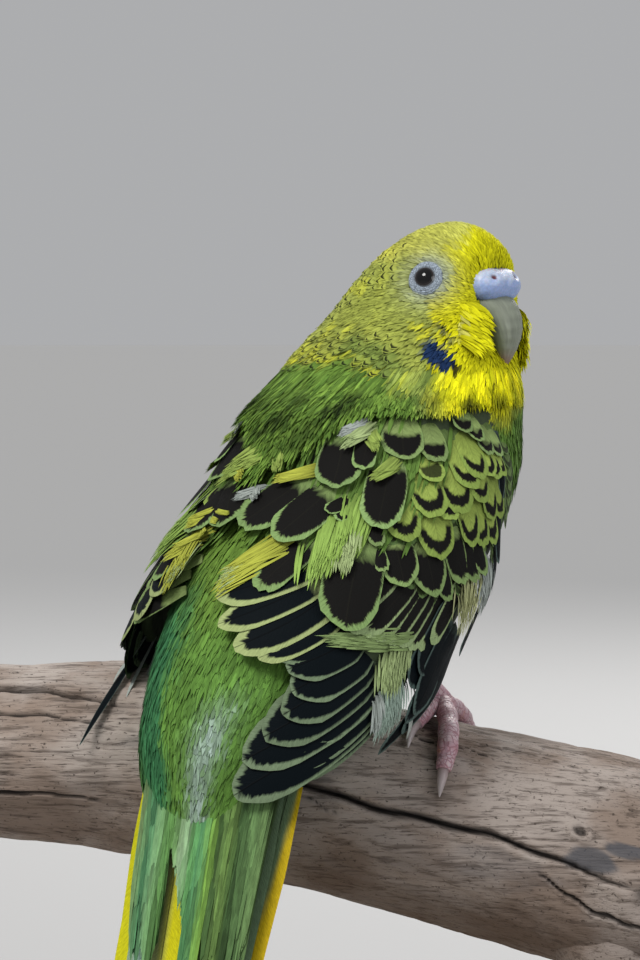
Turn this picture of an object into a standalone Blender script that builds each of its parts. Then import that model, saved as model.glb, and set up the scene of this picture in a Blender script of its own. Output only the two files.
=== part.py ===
"""A life-size budgerigar gripping a length of branch on a plain display stand.

Millimetres are used while shapes are laid out, and metres in the scene.  The bird's own
frame has its origin inside the breast; the stand's underside centre is the scene's origin.
"""

import math

import bmesh
import bpy
import numpy as np

MM = 0.001
GAP = 0.3  # clearance kept between neighbouring nodes
FLAT = math.radians(3.0)  # faces that meet at less than this are made one
BASE_AT = (21.0, -10.0)  # centre of the stand's base in the bird's frame
BASE_SIZE = (150.0, 110.0, 8.0)
BASE_TOP = -127.0
ROD_RADIUS = 4.0
ROD_X = (-17.0, 60.0)
PERCH_Y = -4.0
CRACK_X = (-3.0, 58.0)
CRACK_ANGLE = (1.39, 0.19, 0.035)  # where the long crack starts, how far it turns and how far it wanders
CRACK_DEPTH = 2.4
CRACK_HALF_WIDTH = (0.25, 0.95)  # at its ends, and how much more in its middle
TOE_RADIUS = 1.75
SHANK_RADII = (1.9, 1.7, 2.5)
CLAW_RADII = (0.95, 0.72, 0.14)
CLAW_LIFTS = (1.6, 1.5, 0.62)
TO_WORLD = np.array([-BASE_AT[0], -BASE_AT[1], BASE_SIZE[2] - BASE_TOP])

HEAD_HEADING = 131.0
FACE_HOLLOW = 0.15  # how far the face is set back beside the beak, as a share of its depth
FACE_HEIGHT = 26.0
WING_HEADING = 37.0
NECK_TOP = 17.5
NECK_LOW = 11.0
TAIL_CUT = -46.0

# height, centre x, centre y, heading, half width, fore, aft of each level of the bird
BODY_LEVELS = np.array([
    (43.8, 22.8, 3.6, 131, 0, 0, 0),
    (41.8, 22.4, 4.0, 131, 6.0, 6.9, 7.6),
    (38.0, 21.4, 4.9, 131, 9.9, 11.6, 12.0),
    (33.5, 19.8, 6.0, 131, 12.4, 14.4, 14.8),
    (28.0, 18.0, 6.6, 130, 14.2, 17.0, 17.6),
    (22.0, 14.9, 5.6, 121, 16.4, 20.0, 19.6),
    (16.0, 12.6, 3.4, 96, 18.8, 22.0, 21.0),
    (9.0, 10.0, 0.0, 62, 21.8, 25.0, 22.0),
    (2.0, 7.8, -3.6, 42, 23.6, 29.2, 22.4),
    (-5.0, 4.8, -7.0, 37, 24.0, 32.0, 23.2),
    (-12.0, 1.2, -10.8, 37, 23.2, 31.0, 24.0),
    (-20.0, -2.8, -15.1, 37, 21.6, 28.6, 23.2),
    (-28.0, -7.6, -20.2, 37, 19.4, 22.6, 20.6),
    (-35.0, -12.2, -25.4, 36, 17.2, 13.4, 16.0),
    (-41.0, -15.6, -29.4, 34, 15.2, 7.6, 11.4),
    (-47.0, -17.6, -31.8, 32, 13.2, 5.0, 7.6),
    (-54.0, -19.2, -33.4, 30, 9.4, 3.6, 4.0),
    (-60.0, -20.4, -34.4, 30, 0, 0, 0),
])

# height, centre x, centre y, right half width, left half width, fore, aft of the folded wings
WING_LEVELS = np.array([
    (18.0, 12.8, 3.8, 20.5, 20.5, 20.0, 21.0),
    (9.0, 10.0, 0.0, 23.4, 23.6, 24.0, 23.4),
    (2.0, 7.8, -3.6, 25.0, 25.6, 29.0, 23.8),
    (-5.0, 4.8, -7.0, 25.8, 27.2, 32.0, 24.6),
    (-12.0, 1.4, -10.6, 25.8, 28.4, 31.6, 25.2),
    (-20.0, -2.4, -14.8, 25.8, 29.0, 30.4, 25.0),
    (-28.0, -6.0, -18.8, 25.6, 28.0, 29.0, 23.4),
    (-35.0, -8.4, -22.0, 25.4, 26.0, 27.4, 20.4),
    (-41.0, -11.0, -25.0, 24.2, 24.0, 24.0, 17.0),
    (-48.0, -14.0, -28.4, 20.4, 21.0, 16.0, 13.6),
    (-56.0, -17.0, -31.6, 15.6, 16.0, 9.0, 9.6),
    (-62.0, -19.0, -34.0, 12.0, 12.0, 6.0, 7.0),
])

# height, first and last angle from the back's middle of a wing's fleshy part
WING_CORE = np.array([
    (13.5, 56, 84),
    (9.0, 16, 104),
    (2.0, 9, 114),
    (-6.0, 12, 121),
    (-14.0, 22, 124),
    (-21.0, 38, 123),
    (-27.0, 54, 116),
])

# x, height of the axis, radius of the branch
PERCH_AXIS = np.array([
    (-66, -45.4, 14.0),
    (-54.2, -45.3, 14.6),
    (-32.2, -46.6, 15.9),
    (-3.4, -52, 17),
    (25.4, -59, 18),
    (54.2, -66.5, 18.6),
    (70, -70.5, 18.6),
])

# Feather tiers of a wing: root height, angle, tip height, angle, width
SCAPULARS = [
    (9, 20, -0.5, 26, 8.5),
    (6, 36, -5, 45, 8.0),
    (2, 19, -6.5, 3, 8.5),
    (-4, 31, -12, 33, 8.0),
    (-7, 23, -15.5, 11, 7.5),
    (-9, 46, -24.5, 54, 9.0),
]
TERTIALS = [
    (-12, 35, -18.5, 1, 6.5),
    (-14, 42, -22.5, 6, 6.5),
    (-16, 49, -26, 15, 6.5),
]
LESSER_ROWS = [(9, 1, 62, 13, 4, 6.8), (2, -7, 57, 15, 4, 7.4)]
COLOURS = {
    "plumage_green": (0.16, 0.36, 0.06),
    "plumage_yellow": (0.62, 0.60, 0.05),
    "plumage_wing": (0.10, 0.14, 0.05),
    "horn_beak": (0.30, 0.30, 0.22),
    "skin_cere": (0.50, 0.55, 0.80),
    "eye_dark": (0.01, 0.01, 0.012),
    "skin_foot": (0.62, 0.36, 0.36),
    "horn_claw": (0.34, 0.28, 0.28),
    "wood_branch": (0.30, 0.19, 0.11),
    "wood_base": (0.10, 0.07, 0.05),
    "steel_rod": (0.45, 0.45, 0.46),
}


def clearScene():
    """The startup objects go, one at a time."""
    for thing in list(bpy.data.objects):
        bpy.data.objects.remove(thing, do_unlink=True)


def smoothRows(keys, rows, at):
    """Cubic curves through the rows, with a slope at each key from its two neighbours."""
    order = np.argsort(keys)
    keys = keys[order]
    rows = rows[order]
    run = np.diff(keys)[:, None]
    slope = np.diff(rows, axis=0) / run
    bend = np.empty_like(rows)
    bend[1:-1] = (slope[:-1] * run[1:] + slope[1:] * run[:-1]) / (run[1:] + run[:-1])
    bend[0] = 1.5 * slope[0] - 0.5 * bend[1]
    bend[-1] = 1.5 * slope[-1] - 0.5 * bend[-2]
    at = np.clip(at, keys[0], keys[-1])
    i = np.clip(np.searchsorted(keys, at, side="right") - 1, 0, len(keys) - 2)
    h = (keys[i + 1] - keys[i])[..., None]
    t = (at - keys[i])[..., None] / h
    start = rows[i] * (1 + 2 * t) * (1 - t) ** 2 + bend[i] * h * t * (1 - t) ** 2
    return start + rows[i + 1] * t * t * (3 - 2 * t) + bend[i + 1] * h * t * t * (t - 1)


def squared(table, first):
    """Radii are blended as squares, so that a level of no width ends in a round cap."""
    out = table[:, 1:].astype(float)
    out[:, first:] = out[:, first:] ** 2
    return out


BODY_ROWS = squared(BODY_LEVELS, 3)
WING_ROWS = squared(WING_LEVELS, 2)


def levelPoint(x, y, heading, side, fore, aft, z, angle):
    """A point of one level: angle 0 is its back, growing towards the bird's right."""
    s = side * np.sin(angle)
    a = np.where(np.cos(angle) > 0, aft, fore) * np.cos(angle)
    px = x + np.cos(heading) * s - np.sin(heading) * a
    py = y - np.sin(heading) * s - np.cos(heading) * a
    return np.stack([px, py, z + 0 * angle], -1)


def bodyPoint(z, angle):
    """The bird's outline by height and angle, with a hollow in the plumage round the beak."""
    row = smoothRows(BODY_LEVELS[:, 0], BODY_ROWS, z)
    r = np.sqrt(np.maximum(row[..., 3:], 1e-4))
    front = np.pi - np.abs(np.abs(angle) % (2 * np.pi))
    hollow = FACE_HOLLOW * np.exp(-((z - FACE_HEIGHT) / 5.5) ** 2 - (front / 0.42) ** 2)
    fore = r[..., 1] * (1 - hollow)
    heading = np.radians(row[..., 2])
    return levelPoint(row[..., 0], row[..., 1], heading, r[..., 0], fore, r[..., 2], z, angle)


def wingPoint(z, angle):
    row = smoothRows(WING_LEVELS[:, 0], WING_ROWS, z)
    r = np.sqrt(np.maximum(row[..., 2:], 1e-4))
    side = np.where(np.sin(angle) > 0, r[..., 0], r[..., 1])
    heading = math.radians(WING_HEADING)
    return levelPoint(row[..., 0], row[..., 1], heading, side, r[..., 2], r[..., 3], z, angle)


def surfaceNormal(place, z, angle):
    """Outward normal of a surface given by height and angle."""
    up = place(z + 0.05, angle) - place(z - 0.05, angle)
    across = place(z, angle + 0.002) - place(z, angle - 0.002)
    n = np.cross(across, up)
    return n / np.linalg.norm(n, axis=-1, keepdims=True)


def unit(v):
    return v / np.linalg.norm(v, axis=-1, keepdims=True)


def headPoint(forward, right, up):
    """A place given in the head's own directions, from the middle of the eyes' level."""
    h = math.radians(HEAD_HEADING)
    x = 19.8 + forward * math.sin(h) + right * math.cos(h)
    y = 6.0 + forward * math.cos(h) - right * math.sin(h)
    return np.array([x, y, 33.0 + up])


def meshObject(name, points, faces):
    """A mesh object from bird-frame millimetres, with its faces turned outward."""
    mesh = bpy.data.meshes.new(name)
    mesh.from_pydata(((np.asarray(points) + TO_WORLD) * MM).tolist(), [], faces)
    work = bmesh.new()
    work.from_mesh(mesh)
    bmesh.ops.remove_doubles(work, verts=work.verts, dist=1e-6)
    bmesh.ops.triangulate(work, faces=work.faces)
    bmesh.ops.recalc_face_normals(work, faces=work.faces)
    if work.calc_volume(signed=True) < 0:
        bmesh.ops.reverse_faces(work, faces=work.faces)
    work.to_mesh(mesh)
    work.free()
    obj = bpy.data.objects.new(name, mesh)
    bpy.context.scene.collection.objects.link(obj)
    return obj


def loftObject(name, rings):
    """A closed skin over rings of points, each end closed by a flat face."""
    count, around = rings.shape[:2]
    faces = []
    for i in range(count - 1):
        for j in range(around):
            k = (j + 1) % around
            a = i * around
            faces.append((a + j, a + k, a + around + k, a + around + j))
    faces.append(tuple(range(around))[::-1])
    faces.append(tuple((count - 1) * around + j for j in range(around)))
    return meshObject(name, rings.reshape(-1, 3), faces)


def tubeObject(name, path, radii, sides=8, flat=1.0):
    """A round tube along a path, its radius given at each point."""
    path = np.asarray(path, float)
    along = unit(np.gradient(path, axis=0))
    ref = np.array([0.0, 0.0, 1.0])
    if abs(along[0] @ ref) > 0.9:
        ref = np.array([1.0, 0.0, 0.0])
    rings = []
    for p, t, r in zip(path, along, radii):
        side = unit(np.cross(t, ref))
        up = np.cross(side, t)
        ref = up
        turn = np.linspace(0, 2 * math.pi, sides, endpoint=False)[:, None]
        rings.append(p + r * (np.cos(turn) * side + flat * np.sin(turn) * up))
    return loftObject(name, np.array(rings))


def ballObject(name, centre, radii, axes=None, rings=8, around=12):
    """An ellipsoid, its radii along the rows of axes."""
    axes = np.eye(3) if axes is None else axes
    lat = np.linspace(0.02, math.pi - 0.02, rings)[:, None]
    lon = np.linspace(0, 2 * math.pi, around, endpoint=False)[None, :]
    shape = np.stack([np.sin(lat) * np.cos(lon), np.sin(lat) * np.sin(lon), np.cos(lat) + 0 * lon], -1)
    return loftObject(name, np.asarray(centre) + (shape * np.asarray(radii)) @ axes)


def boolean(obj, other, kind, solver="MANIFOLD"):
    """Adds or takes away one object, which is then removed."""
    mod = obj.modifiers.new(kind.lower(), "BOOLEAN")
    mod.operation = kind
    mod.solver = solver
    mod.object = other
    applyModifiers(obj)
    bpy.data.objects.remove(other, do_unlink=True)


def unite(obj, others, solver="MANIFOLD"):
    """Adds a group of objects as one Boolean, and removes them."""
    group = bpy.data.collections.new("uniting")
    bpy.context.scene.collection.children.link(group)
    for other in others:
        group.objects.link(other)
    mod = obj.modifiers.new("union", "BOOLEAN")
    mod.operation = "UNION"
    mod.solver = solver
    mod.operand_type = "COLLECTION"
    mod.collection = group
    applyModifiers(obj)
    for other in others:
        bpy.data.objects.remove(other, do_unlink=True)
    bpy.data.collections.remove(group)


def applyModifiers(obj):
    """The evaluated shape becomes the object's mesh, and only its largest shell is kept."""
    graph = bpy.context.evaluated_depsgraph_get()
    mesh = bpy.data.meshes.new_from_object(obj.evaluated_get(graph))
    obj.modifiers.clear()
    obj.data = mesh
    keepLargest(obj)


def keepLargest(obj):
    """Small loose shells left by a Boolean go; the shell of greatest volume stays."""
    work = bmesh.new()
    work.from_mesh(obj.data)
    bmesh.ops.dissolve_limit(work, angle_limit=FLAT, verts=work.verts, edges=work.edges)
    bmesh.ops.triangulate(work, faces=work.faces)
    left = set(work.faces)
    shells = []
    while left:
        shell = {left.pop()}
        edge = list(shell)
        while edge:
            near = {f for e in edge.pop().edges if len(e.link_faces) == 2 for f in e.link_faces} & left
            left -= near
            shell |= near
            edge.extend(near)
        shells.append(shell)
    if len(shells) > 1:
        shells.sort(key=shellVolume)
        loose = [f for shell in shells[:-1] for f in shell]
        bmesh.ops.delete(work, geom=loose, context="FACES")
    work.to_mesh(obj.data)
    work.free()


def shellVolume(shell):
    """Six times the volume inside a closed set of triangles."""
    total = 0.0
    for face in shell:
        a, b, c = (v.co for v in face.verts)
        total += a.dot(b.cross(c))
    return total


def swollen(obj, by):
    """A copy of the object, moved outward along its vertex normals."""
    copy = obj.copy()
    copy.data = obj.data.copy()
    bpy.context.scene.collection.objects.link(copy)
    for v, n in zip(copy.data.vertices, [v.normal.copy() for v in obj.data.vertices]):
        v.co = v.co + n * by * MM
    return copy


def carve(obj, other, by=GAP, solver="MANIFOLD"):
    """Takes away the other object and the clearance round it."""
    boolean(obj, swollen(other, by), "DIFFERENCE", solver)


def overlaps(a, b):
    """Whether the boxes round two objects meet."""
    boxes = []
    for obj in (a, b):
        p = np.array([v.co[:] for v in obj.data.vertices])
        boxes.append((p.min(0), p.max(0)))
    (lowA, highA), (lowB, highB) = boxes
    return bool((lowA < highB).all() and (lowB < highA).all())


def vaneObject(name, middle, across, out, half, thick, rib=0.0, tilt=0.0):
    """A feather's vane: a thin closed plate, alike on both faces, with an optional raised shaft.

    middle, across and out are rows along the shaft; half and thick are its half width and
    thickness there, and tilt lifts its far edge and lowers its near one.
    """
    half = np.asarray(half)[:, None]
    thick = np.asarray(thick)[:, None]
    droop = half ** 2 / 50.0
    near = middle - across * half - out * (droop + tilt)
    far = middle + across * half - out * (droop - tilt)
    lines = [near, middle + out * rib, far] if rib else [near, far]
    top = np.stack(lines, 1)
    low = top - out[:, None] * thick[:, None]
    return plateObject(name, top, low)


def plateObject(name, top, low):
    """A closed plate between two alike grids of points, split into triangles alike."""
    rows, columns = top.shape[:2]
    m = rows * columns
    faces = []
    for i in range(rows - 1):
        for j in range(columns - 1):
            a = i * columns + j
            b = a + columns
            if 2 * j < columns - 1:
                pair = [(a, a + 1, b), (a + 1, b + 1, b)]
            else:
                pair = [(a, a + 1, b + 1), (a, b + 1, b)]
            faces += pair
            faces += [tuple(m + v for v in tri[::-1]) for tri in pair]
        for a in (i * columns, (i + 1) * columns - 1):
            faces.append((a, a + columns, m + a + columns, m + a))
    for a in (0, (rows - 1) * columns):
        for j in range(columns - 1):
            faces.append((a + j, a + j + 1, m + a + j + 1, m + a + j))
    return meshObject(name, np.concatenate([top.reshape(-1, 3), low.reshape(-1, 3)]), faces)


VANE_STEPS = np.array([0.0, 0.45, 0.8, 1.0])
VANE_WIDTHS = np.array([0.7, 1.0, 0.86, 0.34])
# height of the first secondary's tip and how much lower each next one ends, on the right and the left wing
SECONDARY_TIPS = {1: (-29.0, 4.1), -1: (-27.0, 0.7)}


def looser(z, angle):
    """The left wing is held a little further from the back, and hangs lower at its end."""
    return 13.0 + 0.88 * angle + 20.0 * np.clip((-8.0 - z) / 20.0, 0.0, 1.0)


def wingVane(side, root, tip, width, lift=(-0.35, 1.0), thick=0.55, sweep=0.0):
    """One feather on a wing's surface, from its root to its tip (height, degrees)."""
    t = VANE_STEPS
    z = root[0] + (tip[0] - root[0]) * t
    angle = root[1] + (tip[1] - root[1]) * t + sweep * np.sin(np.pi * t)
    if side < 0:
        angle = looser(z, angle)
    angle = np.radians(angle) * side
    out = surfaceNormal(wingPoint, z, angle)
    middle = wingPoint(z, angle) + out * (lift[0] + (lift[1] - lift[0]) * t)[:, None]
    along = unit(np.gradient(middle, axis=0))
    across = unit(np.cross(out, along)) * side
    half = VANE_WIDTHS * width / 2
    body = np.full(len(t), thick)
    body[-1] = 0.6 * thick
    return vaneObject("vane", middle, across, out, half, body, tilt=0.18)


def wingTiers(side):
    """Every feather of one wing, from the flight feathers up to the smallest coverts."""
    out = []

    def lay(root, tip, width, **more):
        out.append(wingVane(side, root, tip, width, **more))

    high, fall = SECONDARY_TIPS[side]
    for k in range(6):
        root = (high + 9.0 - 0.3 * fall * k, 60.0 + 4.5 * k)
        tip = (high - fall * k, 43.0 - 2.6 * k)
        lay(root, tip, 7.4, lift=(-0.6, 0.8 - 0.12 * k))
    for k in range(5):
        root = (-13.0 - 1.4 * k, 101.0 + 5.0 * k)
        tip = (-30.0 - 2.8 * k, 96.0 + 6.2 * k)
        lay(root, tip, 5.4, lift=(-0.5, 0.5))
    for k in range(7):
        lay((-12.0, 62.0 + 7.6 * k), (-24.5 + 0.3 * k, 54.0 + 8.5 * k), 5.6, lift=(-0.5, 0.75))
    for row in TERTIALS:
        lay(row[:2], row[2:4], row[4], lift=(-0.3, 1.0), sweep=4.0)
    for k in range(5):
        lay((-6.0, 52.0 + 12.0 * k), (-15.0, 53.0 + 13.4 * k), 7.0, lift=(-0.4, 1.0))
    for high, low, first, step, count, width in LESSER_ROWS[::-1]:
        for k in range(count):
            lay((high, first + step * k), (low - 1.0, first + 1.5 + step * k), width, lift=(-0.4, 1.1))
    for row in SCAPULARS[::-1]:
        lay(row[:2], row[2:4], row[4], lift=(-0.2, 1.5))
    lay((-4.0, 112.0), (-22.0, 122.0), 4.4, lift=(-0.4, 0.7))
    if side < 0:
        lay((-14.0, 56.0), (-43.0, 33.0), 3.4, lift=(-0.5, 8.0))
    return out


def makeTorso():
    """Breast, belly, back and rump in one, with a feathered thigh over the top of each shank."""
    torso = bodyPart("torso", NECK_LOW - GAP / 2, TAIL_CUT + GAP / 2, 15, 26)
    for side, ankle in ANKLES.items():
        x, y, z = ankle
        inside = bodyPoint(np.array(-22.0), np.array(math.radians(150.0 if side == "right" else -150.0)))
        inside = inside * 0.6 + bodyPoint(np.array(-22.0), np.array(0.0)) * 0.4
        path = [inside, (inside + ankle) / 2, (x, y, z - 0.4)]
        boolean(torso, tubeObject("thigh", path, [8.0, 7.2, 3.0], 12), "UNION")
    return torso


def bodyReach(z, centre, ray):
    """How far from a point of a level the body's skin lies, along a level direction."""
    row = smoothRows(BODY_LEVELS[:, 0], BODY_ROWS, z)
    r = np.sqrt(np.maximum(row[..., 3:], 1e-4))
    heading = np.radians(row[..., 2])
    near = np.zeros_like(z)
    far = np.full_like(z, 60.0)
    for _ in range(30):
        reach = (near + far) / 2
        p = centre + ray * reach[..., None] - row[..., :2]
        side = (p[..., 0] * np.cos(heading) - p[..., 1] * np.sin(heading)) / r[..., 0]
        aft = -(p[..., 0] * np.sin(heading) + p[..., 1] * np.cos(heading))
        aft = aft / np.where(aft > 0, r[..., 2], r[..., 1])
        inside = side ** 2 + aft ** 2 < 1
        near = np.where(inside, reach, near)
        far = np.where(inside, far, reach)
    return reach


def wingCore(name, side):
    """The fleshy part of a wing: a curved plate that lies just off the body."""
    steps = 7
    z = np.linspace(WING_CORE[0, 0], WING_CORE[-1, 0], 8)
    ends = smoothRows(WING_CORE[:, 0], WING_CORE[:, 1:].astype(float), z)
    t = np.linspace(0, 1, steps)
    angle = ends[:, :1] + (ends[:, 1:] - ends[:, :1]) * t
    z = np.repeat(z[:, None], steps, 1)
    if side < 0:
        angle = looser(z, angle)
    angle = np.radians(angle) * side
    outer = wingPoint(z, angle)
    row = smoothRows(WING_LEVELS[:, 0], WING_ROWS, z)
    ray = outer[..., :2] - row[..., :2]
    reach = np.linalg.norm(ray, axis=-1)
    ray = ray / reach[..., None]
    inner = np.maximum(bodyReach(z, row[..., :2], ray) + 2 * GAP, reach - 2.8)
    outside = np.maximum(reach - 0.25, inner + 0.7)
    skins = []
    for r in (outside, inner):
        skins.append(np.concatenate([row[..., :2] + ray * r[..., None], z[..., None]], -1))
    return plateObject(name, skins[0], skins[1])


def bodyPart(name, top, low, count, around):
    """The bird's body between two heights; a height of its end is closed to a point."""
    t = np.linspace(0, 1, count)
    z = top + (low - top) * t
    if top >= BODY_LEVELS[0, 0]:
        z = top + (low - top) * t ** 1.6
    if low <= BODY_LEVELS[-1, 0]:
        z = low + (top - low) * (1 - t) ** 1.4
    angle = np.linspace(0, 2 * math.pi, around, endpoint=False)
    z, angle = np.meshgrid(z, angle, indexing="ij")
    return loftObject(name, bodyPoint(z, angle))


TAIL_ROOT = np.array([-17.8, -32.4, -44.0])
TAIL_DOWN = unit(np.array([-0.150, -0.150, -0.975]))
TAIL_HEADING = math.radians(30.0)
TAIL_RIGHT = unit(np.array([math.cos(TAIL_HEADING), -math.sin(TAIL_HEADING), -0.08]))
TAIL_OUT = unit(np.cross(TAIL_DOWN, TAIL_RIGHT))
TAIL_LENGTHS = (81.0, 74.0, 66.0, 59.0, 53.0, 47.0)


def tailPlace(side, along, out):
    return TAIL_ROOT + TAIL_RIGHT * side + TAIL_DOWN * along + TAIL_OUT * out


def tailVane(side, start, spread, first, last, width, out, rise=0.0, tilt=0.0, rib=0.0):
    """A tail feather from one distance down the tail to another."""
    t = np.array([0.0, 0.35, 0.7, 0.9, 1.0])
    along = first + (last - first) * t
    middle = np.array([tailPlace(side * (start + spread * a), first + (last - first) * a, out + rise * a)
                       for a in t])
    half = width / 2 * np.array([0.72, 1.0, 0.92, 0.62, 0.2])
    thick = np.array([0.6, 0.6, 0.55, 0.5, 0.35])
    across = np.tile(TAIL_RIGHT * side, (len(t), 1))
    face = np.tile(TAIL_OUT, (len(along), 1))
    return vaneObject("vane", middle, across, face, half, thick, rib, tilt)


def makeTail():
    """The root of the tail with six pairs of tail feathers and the coverts over them."""
    tail = bodyPart("tail", TAIL_CUT - GAP / 2, BODY_LEVELS[-1, 0], 7, 18)
    vanes = []
    for k, length in enumerate(TAIL_LENGTHS):
        for side in (1, -1):
            start = 1.5 + 1.35 * k
            out = 1.5 - 0.72 * k
            rib = 0.2 if k == 0 else 0.0
            vanes.append(tailVane(side, start, 0.7 * k - 0.8, 5.0, length, 6.4, out, 0.0, 0.1, rib))
    for k in range(2):
        for side in (1, -1):
            vanes.append(tailVane(side, 2.2 + 4.2 * k, 0.6, 4.0, 25.0 - 4.5 * k, 6.6, 2.9 - 0.5 * k, 0.2))
    for side in (1, -1):
        vanes.append(tailVane(side, 2.6, 0.4, 4.0, 21.0, 7.0, -3.6))
    unite(tail, vanes)
    return tail


def perchRow(x):
    return smoothRows(PERCH_AXIS[:, 0], PERCH_AXIS[:, 1:].astype(float), np.asarray(x, float))


def perchPoint(x, angle, lift=0.0):
    """A place on the branch: angle 0 is its top, growing towards the side the back faces."""
    row = perchRow(x)
    r = row[..., 1] + lift
    return np.stack([x + 0 * angle, PERCH_Y - r * np.sin(angle), row[..., 0] + r * np.cos(angle)], -1)


def makePerch():
    """A cut length of branch with a knot, a long crack and a cut-off twig stub."""
    x = np.linspace(PERCH_AXIS[0, 0], PERCH_AXIS[-1, 0], 18)
    angle = np.linspace(0, 2 * math.pi, 20, endpoint=False)
    x, angle = np.meshgrid(x, angle, indexing="ij")
    worn = 0.35 * np.sin(3 * angle + x / 19.0) + 0.25 * np.sin(5 * angle - x / 11.0)
    worn = worn * np.clip(np.sin(angle), 0, 1) - 0.1
    perch = loftObject("perch", perchPoint(x, angle, worn))
    stub = tubeObject("stub", [(44, -8, -70), (50, -11, -80), (55, -13, -88)], [9.5, 8.4, 7.6], 12)
    boolean(perch, stub, "UNION")
    along = np.linspace(0, 1, 14)
    swell = np.sin(np.pi * along)
    place = CRACK_X[0] + (CRACK_X[1] - CRACK_X[0]) * along
    turn = CRACK_ANGLE[0] + CRACK_ANGLE[1] * along + CRACK_ANGLE[2] * np.sin(9.0 * along)
    line = perchPoint(place, turn, 0.6)
    deep = perchPoint(place, turn + 0.03, -CRACK_DEPTH * swell - 0.2)
    wide = (CRACK_HALF_WIDTH[0] + CRACK_HALF_WIDTH[1] * swell)[:, None]
    edge = unit(perchPoint(place, turn + 0.01) - perchPoint(place, turn - 0.01))
    rings = np.stack([line - edge * wide, line + edge * wide, deep], 1)
    boolean(perch, loftObject("crack", rings), "DIFFERENCE")
    return perch


def digit(name, place, path, radii, sides=7):
    """A toe or claw laid over the branch, path as rows of x, angle and lift."""
    path = np.asarray(path, float)
    t = np.linspace(0, len(path) - 1, 2 * len(path) - 1)
    rows = smoothRows(np.arange(len(path)).astype(float), path, t)
    r = smoothRows(np.arange(len(path)).astype(float), np.asarray(radii, float)[:, None], t)[:, 0]
    points = perchPoint(rows[:, 0] + place, np.radians(rows[:, 1]), rows[:, 2])
    return tubeObject(name, points, r, sides)


# x from the foot's middle, angle round the branch and radius of each toe, with its claw
TOES = {
    "outer_rear": ([(0.6, 4), (1.4, 22), (1.2, 42), (0.4, 56)], [(0.4, 56), (0.0, 63), (-0.3, 70)]),
    "inner_rear": ([(-0.6, 4), (-2.4, 17), (-4.0, 30)], [(-4.0, 30), (-4.9, 38), (-5.4, 46)]),
    "outer_front": ([(0.6, -2), (3.2, -18), (5.0, -38), (5.6, -56)], [(5.6, -56), (5.6, -66), (5.4, -76)]),
    "inner_front": ([(-0.6, -2), (-1.4, -18), (-2.0, -34)], [(-2.0, -34), (-2.2, -44), (-2.4, -53)]),
}
FEET = {"right": (20.0, -4.0, 1), "left": (-9.0, 3.0, -1)}
ANKLES = {"right": (13.4, -12.0, -29.0), "left": (-8.0, -3.4, -24.6)}


def makeLeg(side):
    """A shank and four toes, two before and two behind, and the four claws."""
    claws = []
    x, y, sign = FEET[side]
    shift = math.degrees(math.asin((PERCH_Y - y) / 19.0))
    radius = TOE_RADIUS
    middle = perchPoint(np.array([x]), np.radians([shift]), radius + 0.5)[0]
    ankle = np.array(ANKLES[side])
    knee = ankle + (middle - ankle) * 0.5 + np.array([0.5, 0.2, 0.4])
    leg = tubeObject("leg_" + side, [ankle, knee, middle + (0, 0, 0.4)], SHANK_RADII, 10)
    parts = []
    for toe, (path, nail) in TOES.items():
        rows = [(sign * dx, turn + shift, radius + GAP) for dx, turn in path]
        radii = [radius * 1.1] + [radius] * (len(path) - 2) + [radius * 0.72]
        parts.append(digit("toe", x, rows, radii))
        rows = [(sign * dx, turn + shift, lift) for (dx, turn), lift in zip(nail, CLAW_LIFTS)]
        claws.append(digit("claw_" + toe + "_" + side, x, rows, CLAW_RADII, 6))
    unite(leg, parts)
    for claw in claws:
        carve(claw, leg, 0.2)
    return [leg] + claws


def makeHead():
    """The head with its lids, the eyes, the two lobes of the cere and the two mandibles."""
    head = bodyPart("head", BODY_LEVELS[0, 0], NECK_TOP + GAP / 2, 13, 26)
    h = math.radians(HEAD_HEADING)
    axes = np.array([[math.sin(h), math.cos(h), 0], [math.cos(h), -math.sin(h), 0], [0, 0, 1]])
    eyes = []
    for name, side in (("eye_right", 1), ("eye_left", -1)):
        angle = np.array(math.radians(116.0) * side)
        z = np.array(34.3)
        at = bodyPoint(z, angle)
        out = surfaceNormal(bodyPoint, z, angle)
        turn = np.linspace(0, 2 * math.pi, 14, endpoint=False)
        u = unit(np.cross(out, (0, 0, 1)))
        v = np.cross(u, out)
        ring = at + 2.45 * (np.cos(turn)[:, None] * u + np.sin(turn)[:, None] * v) - out * 0.1
        lid = ringObject("lid", ring, at, out, 0.85, 0.55)
        boolean(head, lid, "UNION")
        eye = ballObject(name, at - out * 1.5, (2.5, 2.5, 2.5), np.stack([u, v, out]), 7, 12)
        carve(head, eye, 0.25)
        eyes.append(eye)
    lobes = [ballObject("lobe", headPoint(12.6, 2.3 * s, 0.0), (3.3, 3.1, 2.9), axes, 7, 11)
             for s in (1, -1)]
    cere = lobes[0]
    cere.name = "cere"
    boolean(cere, lobes[1], "UNION")
    for s in (1, -1):
        pit = tubeObject("pit", [headPoint(17.5, 2.1 * s, 1.7), headPoint(14.4, 1.9 * s, 1.1)], [0.62, 0.5], 7)
        boolean(cere, pit, "DIFFERENCE")
    upper = mandible("beak_upper", UPPER_BEAK)
    lower = mandible("beak_lower", LOWER_BEAK)
    carve(lower, upper)
    carve(upper, cere)
    for piece in (upper, lower, cere):
        carve(head, piece)
    return head


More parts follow.
